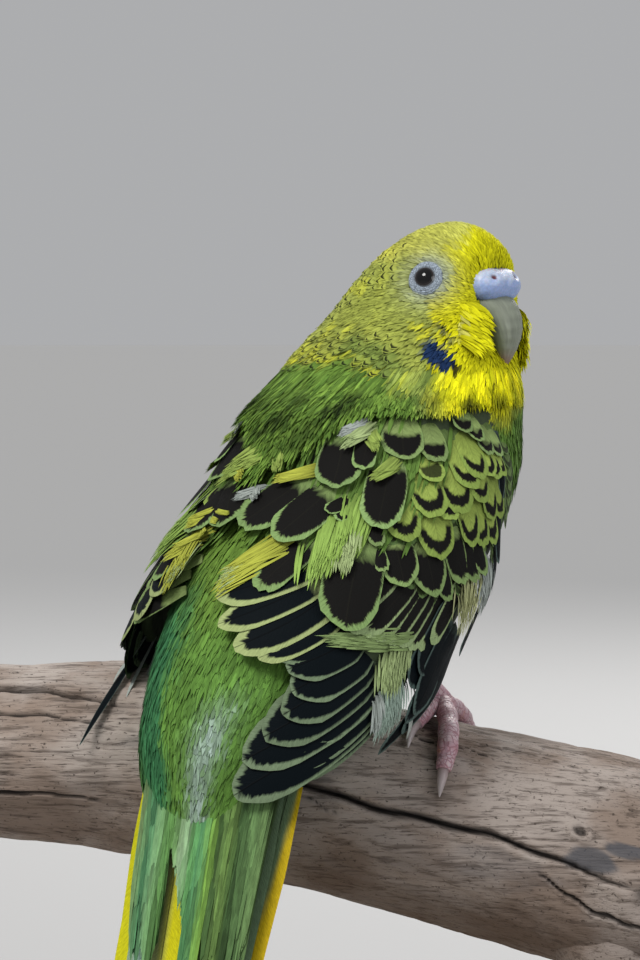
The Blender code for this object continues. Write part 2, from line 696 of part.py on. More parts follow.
# forward and height of the outer edge, forward and height of the inner edge, half width
UPPER_BEAK = np.array([
    (12.4, -0.4, 8.4, -3.6, 3.6),
    (15.2, -2.0, 9.2, -5.2, 4.3),
    (17.0, -4.6, 10.6, -6.8, 4.0),
    (17.6, -7.4, 12.2, -8.4, 3.3),
    (17.1, -10.0, 13.4, -10.2, 2.4),
    (16.1, -12.2, 14.0, -12.0, 1.4),
    (15.0, -13.9, 14.4, -13.8, 0.3),
])
LOWER_BEAK = np.array([
    (8.6, -11.4, 9.2, -6.8, 3.0),
    (11.0, -12.6, 10.8, -8.0, 3.2),
    (13.0, -12.8, 12.2, -9.6, 2.8),
    (14.0, -12.4, 13.4, -11.0, 1.4),
])


def mandible(name, table):
    """A horny sheath: round sections hung between its outer and its inner edge."""
    rows = smoothRows(np.arange(len(table)).astype(float), table, np.linspace(0, len(table) - 1, 10))
    turn = np.linspace(0, 2 * math.pi, 10, endpoint=False)
    rings = []
    for of, oz, nf, nz, half in rows:
        f = (of + nf) / 2 + (of - nf) / 2 * np.cos(turn)
        z = (oz + nz) / 2 + (oz - nz) / 2 * np.cos(turn)
        s = half * np.sin(turn)
        rings.append(np.stack([headPoint(a, b, c) for a, b, c in zip(f, s, z)]))
    return loftObject(name, np.array(rings))


def ringObject(name, ring, centre, out, half, rise):
    """A rounded ring about a line of points: half wide, and rise high."""
    count = len(ring)
    sides = 4
    turn = np.linspace(0, 2 * math.pi, sides, endpoint=False)
    away = unit(ring - centre)
    points = ring[:, None] + away[:, None] * (half * np.cos(turn))[None, :, None]
    points = points + out * (rise * np.sin(turn))[None, :, None]
    faces = []
    for i in range(count):
        for j in range(sides):
            k = (j + 1) % sides
            n = (i + 1) % count
            faces.append((i * sides + j, i * sides + k, n * sides + k, n * sides + j))
    return meshObject(name, points.reshape(-1, 3), faces)


def makeStand(perch):
    """A flat base and two rods that reach up to the branch."""
    half = np.array(BASE_SIZE) / 2
    corners = []
    cut = 6.0
    for sx, sy in ((1, 1), (-1, 1), (-1, -1), (1, -1)):
        for k in range(4):
            a = math.atan2(sy, sx) - math.pi / 4 + k * math.pi / 6
            corners.append((sx * (half[0] - cut) + cut * math.cos(a), sy * (half[1] - cut) + cut * math.sin(a)))
    corners = np.array(corners) + BASE_AT
    rings = []
    for z, inset in ((BASE_TOP - BASE_SIZE[2], 0.0), (BASE_TOP - 1.0, 0.0), (BASE_TOP, 1.0)):
        pull = (corners - BASE_AT) * (1 - inset / half[:2])
        rings.append(np.column_stack([pull + BASE_AT, np.full(len(pull), z)]))
    loftObject("stand_base", np.array(rings))
    for name, x in zip(("stand_rod_left", "stand_rod_right"), ROD_X):
        high = float(perchRow(x)[0])
        path = [(x, PERCH_Y, BASE_TOP + GAP), (x, PERCH_Y, high)]
        rod = tubeObject(name, path, [ROD_RADIUS] * 2, 24)
        carve(rod, perch)


def paint(names):
    """One material for each kind of surface, shared by the nodes that have it."""
    made = {}
    for obj in bpy.context.scene.objects:
        kind = next(kind for start, kind in names if obj.name.startswith(start))
        if kind not in made:
            mat = bpy.data.materials.new(kind)
            mat.use_nodes = True
            shader = mat.node_tree.nodes["Principled BSDF"]
            shader.inputs["Base Color"].default_value = (*COLOURS[kind], 1)
            shader.inputs["Roughness"].default_value = 0.35 if "steel" in kind else 0.6
            shader.inputs["Metallic"].default_value = 1.0 if "steel" in kind else 0.0
            made[kind] = mat
        obj.data.materials.clear()
        obj.data.materials.append(made[kind])
        obj.data.shade_smooth()
        obj.data.set_sharp_from_angle(angle=math.radians(32.0))


KINDS = (
    ("head", "plumage_yellow"),
    ("neck", "plumage_green"),
    ("torso", "plumage_green"),
    ("tail", "plumage_green"),
    ("wing", "plumage_wing"),
    ("eye", "eye_dark"),
    ("beak", "horn_beak"),
    ("cere", "skin_cere"),
    ("leg", "skin_foot"),
    ("claw", "horn_claw"),
    ("perch", "wood_branch"),
    ("stand_base", "wood_base"),
    ("stand_rod", "steel_rod"),
)


def build():
    clearScene()
    perch = makePerch()
    makeStand(perch)
    makeHead()
    neck = bodyPart("neck", NECK_TOP - GAP / 2, NECK_LOW + GAP / 2, 4, 26)
    torso = makeTorso()
    carve(torso, perch)
    tail = makeTail()
    wings = []
    for name, side in (("wing_right", 1), ("wing_left", -1)):
        wing = wingCore(name, side)
        unite(wing, wingTiers(side))
        for other in (torso, neck, tail, perch):
            if overlaps(wing, other):
                carve(wing, other)
        wings.append(wing)
    for side in ("right", "left"):
        for piece in makeLeg(side):
            carve(torso, piece)
            for wing in wings:
                if overlaps(wing, piece):
                    carve(wing, piece)
    paint(KINDS)


build()
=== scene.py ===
# A life-size budgerigar on a driftwood perch: the finish of every surface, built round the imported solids.
# Lengths are millimetres in the bird's own frame until a mesh is written, and metres in the scene.
import math

import bpy
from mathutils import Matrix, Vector
import numpy as np


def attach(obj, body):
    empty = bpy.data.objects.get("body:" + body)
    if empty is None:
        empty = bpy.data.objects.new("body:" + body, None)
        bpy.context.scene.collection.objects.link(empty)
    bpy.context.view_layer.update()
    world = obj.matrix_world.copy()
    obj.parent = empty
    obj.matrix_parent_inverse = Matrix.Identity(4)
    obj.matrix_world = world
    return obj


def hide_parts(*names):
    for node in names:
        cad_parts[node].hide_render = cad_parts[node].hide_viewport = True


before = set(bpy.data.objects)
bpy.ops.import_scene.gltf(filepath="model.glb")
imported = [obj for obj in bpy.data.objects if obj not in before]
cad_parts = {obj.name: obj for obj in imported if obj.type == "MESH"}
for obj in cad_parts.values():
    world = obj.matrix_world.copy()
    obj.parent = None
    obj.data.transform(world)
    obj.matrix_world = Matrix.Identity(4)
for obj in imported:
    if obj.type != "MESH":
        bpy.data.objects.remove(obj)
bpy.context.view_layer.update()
print("solids loaded:", len(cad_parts))

birdOrigin = np.array((-21.0, 10.0, 135.0))  # where the bird's own frame starts in the scene, mm
mm = 0.001


def toWorld(points):
    # the bird frame's millimetres, moved to the scene's origin and made metres
    return (points + birdOrigin) * mm


def unit(v):
    return v / np.maximum(np.linalg.norm(v, axis=-1, keepdims=True), 1e-9)


def ramp(x, low, high):
    # 0 below low, 1 above high, and an even S curve between them; low may be the larger
    t = np.clip((x - low) / (high - low), 0, 1)
    return t * t * (3 - 2 * t)


def mix(a, b, share):
    # the part of the way from a to b that the share gives
    a = np.asarray(a)
    return a + (np.asarray(b) - a) * share


def turnedFrom(angle, middle=0.0):
    # how far an angle lies from the middle, within half a turn either way
    return (angle - middle + np.pi) % (2 * np.pi) - np.pi


def smoothRows(keys, rows, at):
    # a cubic through every row, whose slope at a key is the mean of its neighbours' slopes
    order = np.argsort(keys)
    keys, rows = keys[order], rows[order]
    run = np.diff(keys)[:, None]
    slope = np.diff(rows, axis=0) / run
    bend = np.empty_like(rows)
    bend[1:-1] = (slope[:-1] * run[1:] + slope[1:] * run[:-1]) / (run[1:] + run[:-1])
    bend[0] = 1.5 * slope[0] - 0.5 * bend[1]
    bend[-1] = 1.5 * slope[-1] - 0.5 * bend[-2]
    at = np.clip(at, keys[0], keys[-1])
    i = np.clip(np.searchsorted(keys, at, side="right") - 1, 0, len(keys) - 2)
    h = (keys[i + 1] - keys[i])[..., None]
    t = (at - keys[i])[..., None] / h
    start = rows[i] * (1 + 2 * t) * (1 - t) ** 2 + bend[i] * h * t * (1 - t) ** 2
    return start + rows[i + 1] * t * t * (3 - 2 * t) + bend[i + 1] * h * t * t * (t - 1)


def smoothLine(rows, count):
    # the cubic through rows that stand one step apart, at count even places
    rows = np.array(rows, float)
    last = len(rows) - 1
    line = smoothRows(np.arange(last + 1.0), rows.reshape(last + 1, -1), np.linspace(0, last, count))
    return line.reshape(count, *rows.shape[1:])


# The bird's outline, level by level: height, centre x, centre y, heading, half width, fore, aft
bodyShape = {
    "levels": np.array([
        (43.8, 22.8, 3.6, 131, 0, 0, 0), (41.8, 22.4, 4, 131, 6, 6.9, 7.6),
        (38, 21.4, 4.9, 131, 9.9, 11.6, 12), (33.5, 19.8, 6, 131, 12.4, 14.4, 14.8),
        (28, 18, 6.6, 130, 14.2, 17, 17.6), (22, 14.9, 5.6, 121, 16.4, 20, 19.6),
        (16, 12.6, 3.4, 96, 18.8, 22, 21), (9, 10, 0, 62, 21.8, 25, 22),
        (2, 7.8, -3.6, 42, 23.6, 29.2, 22.4), (-5, 4.8, -7, 37, 24, 32, 23.2),
        (-12, 1.2, -10.8, 37, 23.2, 31, 24), (-20, -2.8, -15.1, 37, 21.6, 28.6, 23.2),
        (-28, -7.6, -20.2, 37, 19.4, 22.6, 20.6), (-35, -12.2, -25.4, 36, 17.2, 13.4, 16),
        (-41, -15.6, -29.4, 34, 15.2, 7.6, 11.4), (-47, -17.6, -31.8, 32, 13.2, 5, 7.6),
        (-54, -19.2, -33.4, 30, 9.4, 3.6, 4), (-60, -20.4, -34.4, 30, 0, 0, 0),
    ]),
    "faceHollow": 0.15,  # how far the plumage is set back beside the beak
    "faceHeight": 26,
    "faceSize": (5.5, 0.42),  # its height in millimetres and its half width in radians
    "skinDepth": 1.5,  # how far the skin lies under the coat's surface
    "skinShade": 0.62,  # its paint as a share of the coat's
    "skinLevels": 130,
    "skinAround": 144,
}
# The folded wings: height, centre x, centre y, right and left half width, fore, aft
wingShape = {
    "levels": np.array([
        (18, 12.8, 3.8, 20.5, 20.5, 20, 21), (9, 10, 0, 23.4, 23.6, 24, 23.4),
        (2, 7.8, -3.6, 25, 25.6, 29, 23.8), (-5, 4.8, -7, 25.8, 27.2, 32, 24.6),
        (-12, 1.4, -10.6, 25.8, 28.4, 31.6, 25.2), (-20, -2.4, -14.8, 25.8, 29, 30.4, 25),
        (-28, -6, -18.8, 25.6, 28, 29, 23.4), (-35, -8.4, -22, 25.4, 26, 27.4, 20.4),
        (-41, -11, -25, 24.2, 24, 24, 17), (-48, -14, -28.4, 20.4, 21, 16, 13.6),
        (-56, -17, -31.6, 15.6, 16, 9, 9.6), (-62, -19, -34, 12, 12, 6, 7),
    ]),
    "heading": 37,
    "core": np.array([
        (13.5, 56, 84), (9, 16, 104), (2, 9, 114), (-6, 12, 121), (-14, 22, 124), (-21, 38, 123),
        (-27, 54, 116),
    ], float),
}
headShape = {"centre": (19.8, 6, 33), "heading": math.radians(131)}


def squaredRows(levels, first):
    # radii are blended as squares, so that a level of no width ends in a round cap
    rows = levels[:, 1:].astype(float)
    rows[:, first:] = rows[:, first:] ** 2
    return rows


bodyRows = squaredRows(bodyShape["levels"], 3)
wingRows = squaredRows(wingShape["levels"], 2)
topOfBody = bodyShape["levels"][0, 0]
footOfBody = bodyShape["levels"][-1, 0]


def levelPoint(x, y, heading, side, fore, aft, z, angle):
    # a point of a level's egg: sine of the angle times the half width, cosine times fore or aft
    s = side * np.sin(angle)
    a = np.where(np.cos(angle) > 0, aft, fore) * np.cos(angle)
    px = x + np.cos(heading) * s - np.sin(heading) * a
    py = y - np.sin(heading) * s - np.cos(heading) * a
    return np.stack([px, py, z + 0 * angle], -1)


def faceHollow(z, angle):
    # a bell over height times a bell over the angle from the beak
    front = np.pi - np.abs(turnedFrom(angle))
    tall, wide = bodyShape["faceSize"]
    bell = np.exp(-((z - bodyShape["faceHeight"]) / tall) ** 2 - (front / wide) ** 2)
    return 1 - bodyShape["faceHollow"] * bell


def bodyPoint(z, angle):
    row = smoothRows(bodyShape["levels"][:, 0], bodyRows, z)
    r = np.sqrt(np.maximum(row[..., 3:], 1e-4))
    fore = r[..., 1] * faceHollow(z, angle)
    return levelPoint(row[..., 0], row[..., 1], np.radians(row[..., 2]), r[..., 0], fore, r[..., 2], z, angle)


def wingPoint(z, angle):
    row = smoothRows(wingShape["levels"][:, 0], wingRows, z)
    r = np.sqrt(np.maximum(row[..., 2:], 1e-4))
    side = np.where(np.sin(angle) > 0, r[..., 0], r[..., 1])
    heading = math.radians(wingShape["heading"])
    return levelPoint(row[..., 0], row[..., 1], heading, side, r[..., 2], r[..., 3], z, angle)


def normalOf(surface, z, angle):
    # the cross product of a surface's slopes round and up
    up = surface(z + 0.05, angle) - surface(z - 0.05, angle)
    return unit(np.cross(surface(z, angle + 0.002) - surface(z, angle - 0.002), up))


def bodyField(p):
    # zero on the bird's outline and rising outward: the squares of a point's side and aft distances,
    # the aft one scaled to the level's half width, less the half width's own square
    z = p[..., 2]
    row = smoothRows(bodyShape["levels"][:, 0], bodyRows, z)
    h = np.radians(row[..., 2])
    x, y = p[..., 0] - row[..., 0], p[..., 1] - row[..., 1]
    side = x * np.cos(h) - y * np.sin(h)
    aft = -(x * np.sin(h) + y * np.cos(h))
    half = np.maximum(row[..., 3], 1e-4)
    far = np.maximum(np.where(aft > 0, row[..., 5], row[..., 4]), 1e-4)
    angle = np.arctan2(side / np.sqrt(half), aft / np.sqrt(far))
    far = np.where(aft > 0, far, far * faceHollow(z, angle) ** 2)
    over = 20 * np.maximum(0, z - topOfBody) + 20 * np.maximum(0, footOfBody - z)
    return side ** 2 + aft ** 2 * half / far - half + over, angle


def settle(p, turns=2):
    # Newton steps down the field's slope put points on the bird's outline, and the slope is the normal
    for _ in range(turns):
        here = bodyField(p)[0]
        slope = np.stack([bodyField(p + step)[0] - here for step in np.eye(3) * 0.02], -1) / 0.02
        steep = np.maximum((slope ** 2).sum(-1, keepdims=True), 1e-6)
        p = p - slope * here[..., None] / steep
    return p, slope / np.sqrt(steep)


def headPoint(forward, right, up):
    # a place given forward, to the bird's right and up from the middle of its head
    h = headShape["heading"]
    x, y, z = headShape["centre"]
    return np.stack(np.broadcast_arrays(
        x + forward * math.sin(h) + right * math.cos(h),
        y + forward * math.cos(h) - right * math.sin(h), z + up), -1)


def headSpace(p):
    # the forward, right and up distances that headPoint would take
    h = headShape["heading"]
    d = p - np.array(headShape["centre"])
    forward = d[..., 0] * math.sin(h) + d[..., 1] * math.cos(h)
    return forward, d[..., 0] * math.cos(h) - d[..., 1] * math.sin(h), d[..., 2]


def softNoise(p, size, seed):
    # the mean of eight waves in seeded directions, each about as long as size, from -1 to 1
    draw = np.random.default_rng(seed)
    ways = unit(draw.normal(size=(8, 3))) * (2 * math.pi / size) * draw.uniform(0.7, 1.5, (8, 1))
    return np.clip(np.sin(p @ ways.T + draw.uniform(0, 6.3, 8)).sum(-1) / 2.6, -1, 1)


# writing meshes

def putObject(thing, name, location=(0.0, 0.0, 0.0), turn=(0.0, 0.0, 0.0)):
    obj = bpy.data.objects.new(name, thing)
    obj.location, obj.rotation_euler = location, turn
    bpy.context.scene.collection.objects.link(obj)
    return obj


def makeMesh(name, points, faces, maps=None, colours=None, vectors=None, material=None, slot=None):
    # points in the bird frame; faces are sets of rows of corner numbers; maps hold a place for each point
    mesh = bpy.data.meshes.new(name)
    corners = np.concatenate([np.asarray(f, np.int32).ravel() for f in faces])
    sizes = np.concatenate([np.full(len(f), np.shape(f)[1], np.int32) for f in faces])
    mesh.vertices.add(len(points))
    mesh.vertices.foreach_set("co", toWorld(points).astype(np.float32).ravel())
    mesh.loops.add(len(corners))
    mesh.loops.foreach_set("vertex_index", corners)
    mesh.polygons.add(len(sizes))
    mesh.polygons.foreach_set("loop_start", (np.cumsum(sizes) - sizes).astype(np.int32))
    mesh.update(calc_edges=True)
    mesh.validate()
    for key, place in (maps or {}).items():
        layer = mesh.uv_layers.new(name=key)
        layer.data.foreach_set("uv", place[corners].astype(np.float32).ravel())
    for key, value in (colours or {}).items():
        layer = mesh.attributes.new(key, "FLOAT_COLOR", "POINT")
        if value.shape[1] == 3:
            value = np.concatenate([value, np.ones((len(value), 1))], 1)
        layer.data.foreach_set("color", value.astype(np.float32).ravel())
    for key, value in (vectors or {}).items():
        layer = mesh.attributes.new(key, "FLOAT_VECTOR", "POINT")
        layer.data.foreach_set("vector", value.astype(np.float32).ravel())
    mesh.shade_smooth()
    obj = putObject(mesh, name)
    if material:
        mesh.materials.append(material)
    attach(obj, "root")
    return obj


def gridFaces(rows, columns, closed=False, start=0):
    # the quads between neighbouring points of a grid; closed joins its last column to its first
    across = columns if closed else columns - 1
    i, j = np.meshgrid(np.arange(rows - 1), np.arange(across), indexing="ij")
    a, b = i * columns + j, i * columns + (j + 1) % columns
    return start + np.stack([a, b, b + columns, a + columns], -1).reshape(-1, 4)


def capFaces(ring, middle, flip=False):
    # a fan of triangles from a ring of points to one in its middle
    after = np.roll(ring, -1)
    fan = np.stack([ring, after, np.full(len(ring), middle)], -1)
    return fan[:, ::-1] if flip else fan


def loft(rings):
    # a closed skin over rings of points, its ends closed by fans to their middles
    rows, around = rings.shape[:2]
    points = np.concatenate([rings.reshape(-1, 3), rings[0].mean(0)[None], rings[-1].mean(0)[None]])
    last = rows * around
    fans = [capFaces(np.arange(around), last, True),
            capFaces(np.arange(around) + (rows - 1) * around, last + 1)]
    quads = gridFaces(rows, around, True)
    a, b, c = (points[quads[:, k]] for k in (0, 1, 2))
    if (np.cross(b - a, c - a) * (a - points.mean(0))).sum() < 0:
        quads = quads[:, ::-1]
        fans = [f[:, ::-1] for f in fans]
    return points, quads, np.concatenate(fans)


def withPoles(values):
    # a grid's values as rows, and its first and last once more for the two middles that a loft adds
    rows = values.reshape(-1, values.shape[-1])
    return np.concatenate([rows, rows[:1], rows[-1:]])


def fullTurn(count):
    return np.linspace(0, 2 * math.pi, count, endpoint=False)


def loftMesh(name, rings, maps, colours, material, slot):
    # a mesh over rings; a value given as a grid has its first and last row's first place at the poles
    points, quads, fans = loft(rings)
    closed = [{k: withPoles(v) if v.ndim > 2 else v for k, v in kind.items()} for kind in (maps, colours)]
    return makeMesh(name, points, (quads, fans), *closed, material=material, slot=slot)


def tubeRings(path, radii, around):
    # circles carried along a path, squared to it, their first point beside it; radii may vary round them
    along = unit(np.gradient(path, axis=0))
    side = unit(np.cross(along, (1.0, 0.0, 0.0)))
    high = np.cross(side, along)
    turn = fullTurn(around)
    radii = np.broadcast_to(np.asarray(radii, float).reshape(len(path), -1), (len(path), around))
    ring = np.cos(turn)[None, :, None] * side[:, None] + np.sin(turn)[None, :, None] * high[:, None]
    return path[:, None] + ring * radii[..., None]


# paints

def addNode(tree, kind, sockets=None, **settings):
    # a node with its settings; a socket value that is itself a socket is wired, any other is set
    made = tree.nodes.new("ShaderNode" + kind)
    for key, value in settings.items():
        setattr(made, key, value)
    for key, value in (sockets or {}).items():
        if isinstance(value, bpy.types.NodeSocket):
            tree.links.new(value, made.inputs[key])
        else:
            made.inputs[key].default_value = value
    return made


def maths(tree, operation, *values, clamp=False):
    made = addNode(tree, "Math", dict(enumerate(values)), operation=operation, use_clamp=clamp)
    return made.outputs[0]


def blend(tree, share, a, b, kind="MIX"):
    # two paints mixed by a share
    a, b = ((*paint, 1) if isinstance(paint, tuple) else paint for paint in (a, b))
    return addNode(tree, "Mix", {0: share, 6: a, 7: b}, data_type="RGBA", blend_type=kind).outputs[2]


def span(tree, value, low, high, start=0.0, end=1.0):
    # the value's place between low and high, eased, sent to between start and end
    sockets = {"Value": value, 1: low, 2: high, 3: start, 4: end}
    return addNode(tree, "MapRange", sockets, interpolation_type="SMOOTHSTEP").outputs[0]


def newGroup(name, inputs, outputs):
    # a node group whose sockets are given as name: (kind, value)
    group = bpy.data.node_groups.new(name, "ShaderNodeTree")
    for key, (kind, value) in inputs.items():
        socket = group.interface.new_socket(key, in_out="INPUT", socket_type="NodeSocket" + kind)
        socket.default_value = value
    for key, kind in outputs.items():
        group.interface.new_socket(key, in_out="OUTPUT", socket_type="NodeSocket" + kind)
    return group, group.nodes.new("NodeGroupInput").outputs, group.nodes.new("NodeGroupOutput").inputs


def newMaterial(name, roughness=0.6, **sockets):
    # a Principled material whose constant values sit on its own sockets
    material = bpy.data.materials.new(name)
    material.use_nodes = True
    shader = material.node_tree.nodes["Principled BSDF"]
    shader.inputs["Roughness"].default_value = roughness
    for key, value in sockets.items():
        shader.inputs[key.replace("_", " ")].default_value = value
    return material, material.node_tree, shader


def addBump(tree, shader, height, strength, distance):
    made = addNode(tree, "Bump", {"Height": height, "Strength": strength, "Distance": distance})
    tree.links.new(made.outputs[0], shader.inputs["Normal"])


def placeIn(tree, scale=None, turn=(0.0, 0.0, 0.0)):
    # the place in the object, turned and scaled along each axis where a scale is given
    spot = addNode(tree, "TexCoord").outputs["Object"]
    if scale:
        spot = addNode(tree, "Mapping", {"Vector": spot, "Rotation": turn, "Scale": scale}).outputs[0]
    return spot


def noiseIn(tree, place, scale, detail, roughness=0.5):
    sockets = {"Vector": place, "Scale": scale, "Detail": detail, "Roughness": roughness}
    return addNode(tree, "TexNoise", sockets).outputs[0]


def uvIn(tree, name):
    return addNode(tree, "UVMap", uv_map=name).outputs[0]


def creasesIn(tree, place, wide):
    # 0 on the borders of a cell pattern, 1 from the given width on
    cells = addNode(tree, "TexVoronoi", {"Vector": place, "Scale": 1.0}, feature="DISTANCE_TO_EDGE")
    return span(tree, cells.outputs[0], 0.0, wide)


def grainedPaint(tree, shader, noise, dim, bright, strength, distance):
    # the paint of the points times a grey that the noise moves between dim and bright, and bumps from it
    tint = addNode(tree, "Attribute", attribute_name="tint").outputs["Color"]
    shade = span(tree, noise, 0.3, 0.7, dim, bright)
    grey = addNode(tree, "CombineColor", {0: shade, 1: shade, 2: shade}).outputs[0]
    tree.links.new(blend(tree, 1.0, tint, grey, "MULTIPLY"), shader.inputs["Base Color"])
    addBump(tree, shader, noise, strength, distance)


def roundOf(tree, a, b):
    # the cube root of the sum of two values' cubes, which rounds the corner between them
    cubes = [maths(tree, "POWER", value, 3.0) for value in (a, b)]
    return maths(tree, "POWER", maths(tree, "ADD", *cubes), 0.3333)


def vaneGroup():
    # A feather's web. Streaks follow the barbs. The dark mark is what lies inside a margin of the edge,
    # beyond a start along the shaft, less a hollow in its middle; margin, start, hollow and strength
    # come from the mark attribute.
    group, given, made = newGroup("featherWeb", {
        "Ink": ("Color", (0.012, 0.01, 0.008, 1)), "Shaft": ("Color", (0.05, 0.04, 0.02, 1)),
        "Streak": ("Float", 0.5), "Shaft share": ("Float", 0.3), "Shaft width": ("Float", 0.05),
        "Fade": ("Float", 0.8), "Ragged": ("Float", 0.3), "Side": ("Float", 1.0),
        "Fringe": ("Color", (1, 1, 1, 1))}, {"Color": "Color", "Height": "Float"})

    def times(a, b, clamp=False):
        return maths(group, "MULTIPLY", a, b, clamp=clamp)

    def less(a, b):
        return maths(group, "SUBTRACT", a, b)

    tint = addNode(group, "Attribute", attribute_name="tint").outputs["Color"]
    markNode = addNode(group, "Attribute", attribute_name="mark")
    parts = addNode(group, "SeparateColor", {0: markNode.outputs["Color"]}).outputs
    barb = addNode(group, "Attribute", attribute_name="barb").outputs["Vector"]
    xy = addNode(group, "SeparateXYZ", {0: uvIn(group, "vane")}).outputs
    fine = noiseIn(group, barb, 3.4, 3.0, 0.7)
    broad = noiseIn(group, barb, 0.9, 2.0)
    side = maths(group, "ABSOLUTE", maths(group, "MULTIPLY_ADD", xy[0], 2.0, -1.0))
    flicker = less(fine, 0.5)
    along = maths(group, "MULTIPLY_ADD", less(broad, 0.5), 0.14, xy[1])
    tip = maths(group, "MAXIMUM", times(less(along, 0.6), 2.5), 0.0)
    rim = roundOf(group, times(side, given["Side"]), tip)
    rim = maths(group, "ADD", rim, times(flicker, given["Ragged"]))
    edge = less(1.0, parts[0])
    inside = times(less(edge, rim), 11.0, True)
    begun = times(less(along, parts[1]), 9.0, True)
    heart = maths(group, "MAXIMUM", times(less(along, 0.42), 3.2), 0.0)
    wide = maths(group, "DIVIDE", side, times(edge, 0.78))
    bulge = maths(group, "ADD", roundOf(group, wide, heart), times(flicker, 0.35))
    core = times(less(1.0, bulge), 7.0, True)
    filled = less(1.0, times(core, parts[2]))
    dark = times(times(inside, begun), times(filled, markNode.outputs["Alpha"]))
    light = maths(group, "MULTIPLY_ADD", flicker, times(given["Streak"], 2.6), 1.0)
    light = times(light, span(group, xy[1], 0.0, 0.75, given["Fade"], 1.0))
    bright = addNode(group, "CombineColor", {0: light, 1: light, 2: light}).outputs[0]
    colour = blend(group, 1.0, tint, bright, "MULTIPLY")
    outer = times(less(1.0, inside), begun)
    colour = blend(group, outer, colour, blend(group, 1.0, colour, given["Fringe"], "MULTIPLY"))
    colour = blend(group, dark, colour, given["Ink"])
    shaft = times(span(group, side, given["Shaft width"], 0.0), given["Shaft share"])
    colour = blend(group, shaft, colour, given["Shaft"])
    ridge = maths(group, "MULTIPLY_ADD", fine, 0.7, times(shaft, 0.6))
    group.links.new(colour, made["Color"])
    group.links.new(ridge, made["Height"])
    return group


webGroup = vaneGroup()


def plumeMaterial(name, look):
    # the web's colour and ridges on a dull surface
    material, tree, shader = newMaterial(name, look["roughness"], Specular_IOR_Level=look["shine"])
    web = addNode(tree, "Group", node_tree=webGroup, sockets={
        "Ink": (*look["ink"], 1), "Shaft": (*look["shaft"], 1), "Streak": look["streak"],
        "Shaft share": look["shaftShare"], "Shaft width": look["shaftWidth"], "Fade": look["fade"],
        "Ragged": look["ragged"], "Side": look.get("side", 1.0),
        "Fringe": (*look.get("fringe", (1, 1, 1)), 1)}).outputs
    tree.links.new(web["Color"], shader.inputs["Base Color"])
    addBump(tree, shader, web["Height"], look["bump"], 0.0002)
    return material


plumeLooks = {
    "headPlume": {"roughness": 0.75, "shine": 0.08, "ink": (0.01, 0.013, 0.005), "shaft": (0.3, 0.3, 0.05),
        "streak": 0.36, "shaftShare": 0, "shaftWidth": 0.1, "bump": 0.3, "fade": 0.7, "ragged": 0.2},
    "bodyPlume": {"roughness": 0.75, "shine": 0.1, "ink": (0.006, 0.008, 0.004),
        "shaft": (0.04, 0.07, 0.02), "streak": 0.62, "shaftShare": 0, "shaftWidth": 0.12, "bump": 0.45,
        "fade": 0.5, "ragged": 0.3},
    "covertPlume": {"roughness": 0.68, "shine": 0.12, "ink": (0.0042, 0.0038, 0.0032),
        "shaft": (0.02, 0.02, 0.01), "streak": 0.5, "shaftShare": 0.22, "shaftWidth": 0.04, "bump": 0.6,
        "fade": 0.62, "ragged": 0.26, "side": 0.88, "fringe": (0.8, 0.86, 0.9)},
    "flightPlume": {"roughness": 0.6, "shine": 0.05, "ink": (0.0022, 0.0045, 0.0062),
        "shaft": (0.002, 0.002, 0.002), "streak": 0.4, "shaftShare": 0.7, "shaftWidth": 0.05, "bump": 0.5,
        "fade": 0.7, "ragged": 0.07},
    "tailPlume": {"roughness": 0.62, "shine": 0.12, "ink": (0.01, 0.032, 0.022),
        "shaft": (0.008, 0.012, 0.008), "streak": 0.5, "shaftShare": 0.8, "shaftWidth": 0.06, "bump": 0.5,
        "fade": 0.85, "ragged": 0.3},
}
plumes = {name: plumeMaterial(name, look) for name, look in plumeLooks.items()}

# the coat's colours, which skin and feathers share
coatColours = {
    "green": (0.125, 0.225, 0.036), "breast": (0.115, 0.225, 0.04), "rump": (0.11, 0.235, 0.042),
    "turquoise": (0.02, 0.15, 0.075), "yellow": (0.64, 0.62, 0.008), "crown": (0.5, 0.51, 0.095),
    "cheek": (0.33, 0.375, 0.07), "nape": (0.4, 0.45, 0.095), "neck": (0.185, 0.255, 0.055),
    "grey": (0.09, 0.1, 0.05), "blue": (0.013, 0.034, 0.1), "down": (0.36, 0.45, 0.43),
    "eyeRim": (0.37, 0.41, 0.33), "black": (0.004, 0.004, 0.004), "belly": (0.12, 0.25, 0.05),
    "quill": (0.42, 0.42, 0.2), "smudge": (0.004, 0.008, 0.003),
}
# height, angle from the back and radius of each small patch, alike on both sides
landmarks = {
    "eye": (34.3, 116, 3.8), "cheekPatch": (21.6, 127, 2.5), "patchFoot": (19.9, 129.5, 1.7),
    "greyPatch": (24.9, 135, 2), "quillPatch": (24.9, 149, 2.3), "underEye": (28.4, 134, 3.2),
    "ear": (25.5, 121, 2.6), "spotOuter": (18.9, 132, 0.9), "spotInner": (17.3, 141.5, 0.9),
    "spotMiddle": (16.2, 145, 0.8),
}


def tone(name):
    return np.array(coatColours[name])


def landmark(name, side):
    z, angle, _ = landmarks[name]
    return bodyPoint(np.array(z), np.radians(np.array(angle * side)))


def nearness(p, name, side, size=1.0):
    # 1 at a landmark, falling as a bell to nothing at about twice its radius times the size
    radius = landmarks[name][2] * size
    return np.exp(-((p - landmark(name, side)) ** 2).sum(-1) / radius ** 2)


def cellsOf(numbers, across):
    # the middle and the width of each numbered cell, where an atlas has so many of them across
    wide = np.full(len(numbers), 0.92 / across)
    return np.stack([(numbers % across + 0.5) / across, (numbers // across + 0.5) / across, wide], -1)


def neckLine(p):
    # the height at which the head's coat ends, which falls from the nape towards the throat
    places, heights = (-12, -3, 2.6, 7.5, 12.4, 15.4, 18.5), (19.5, 20.2, 18.6, 16.5, 14.1, 12.3, 9.6)
    return np.interp(headSpace(p)[0], places, heights)


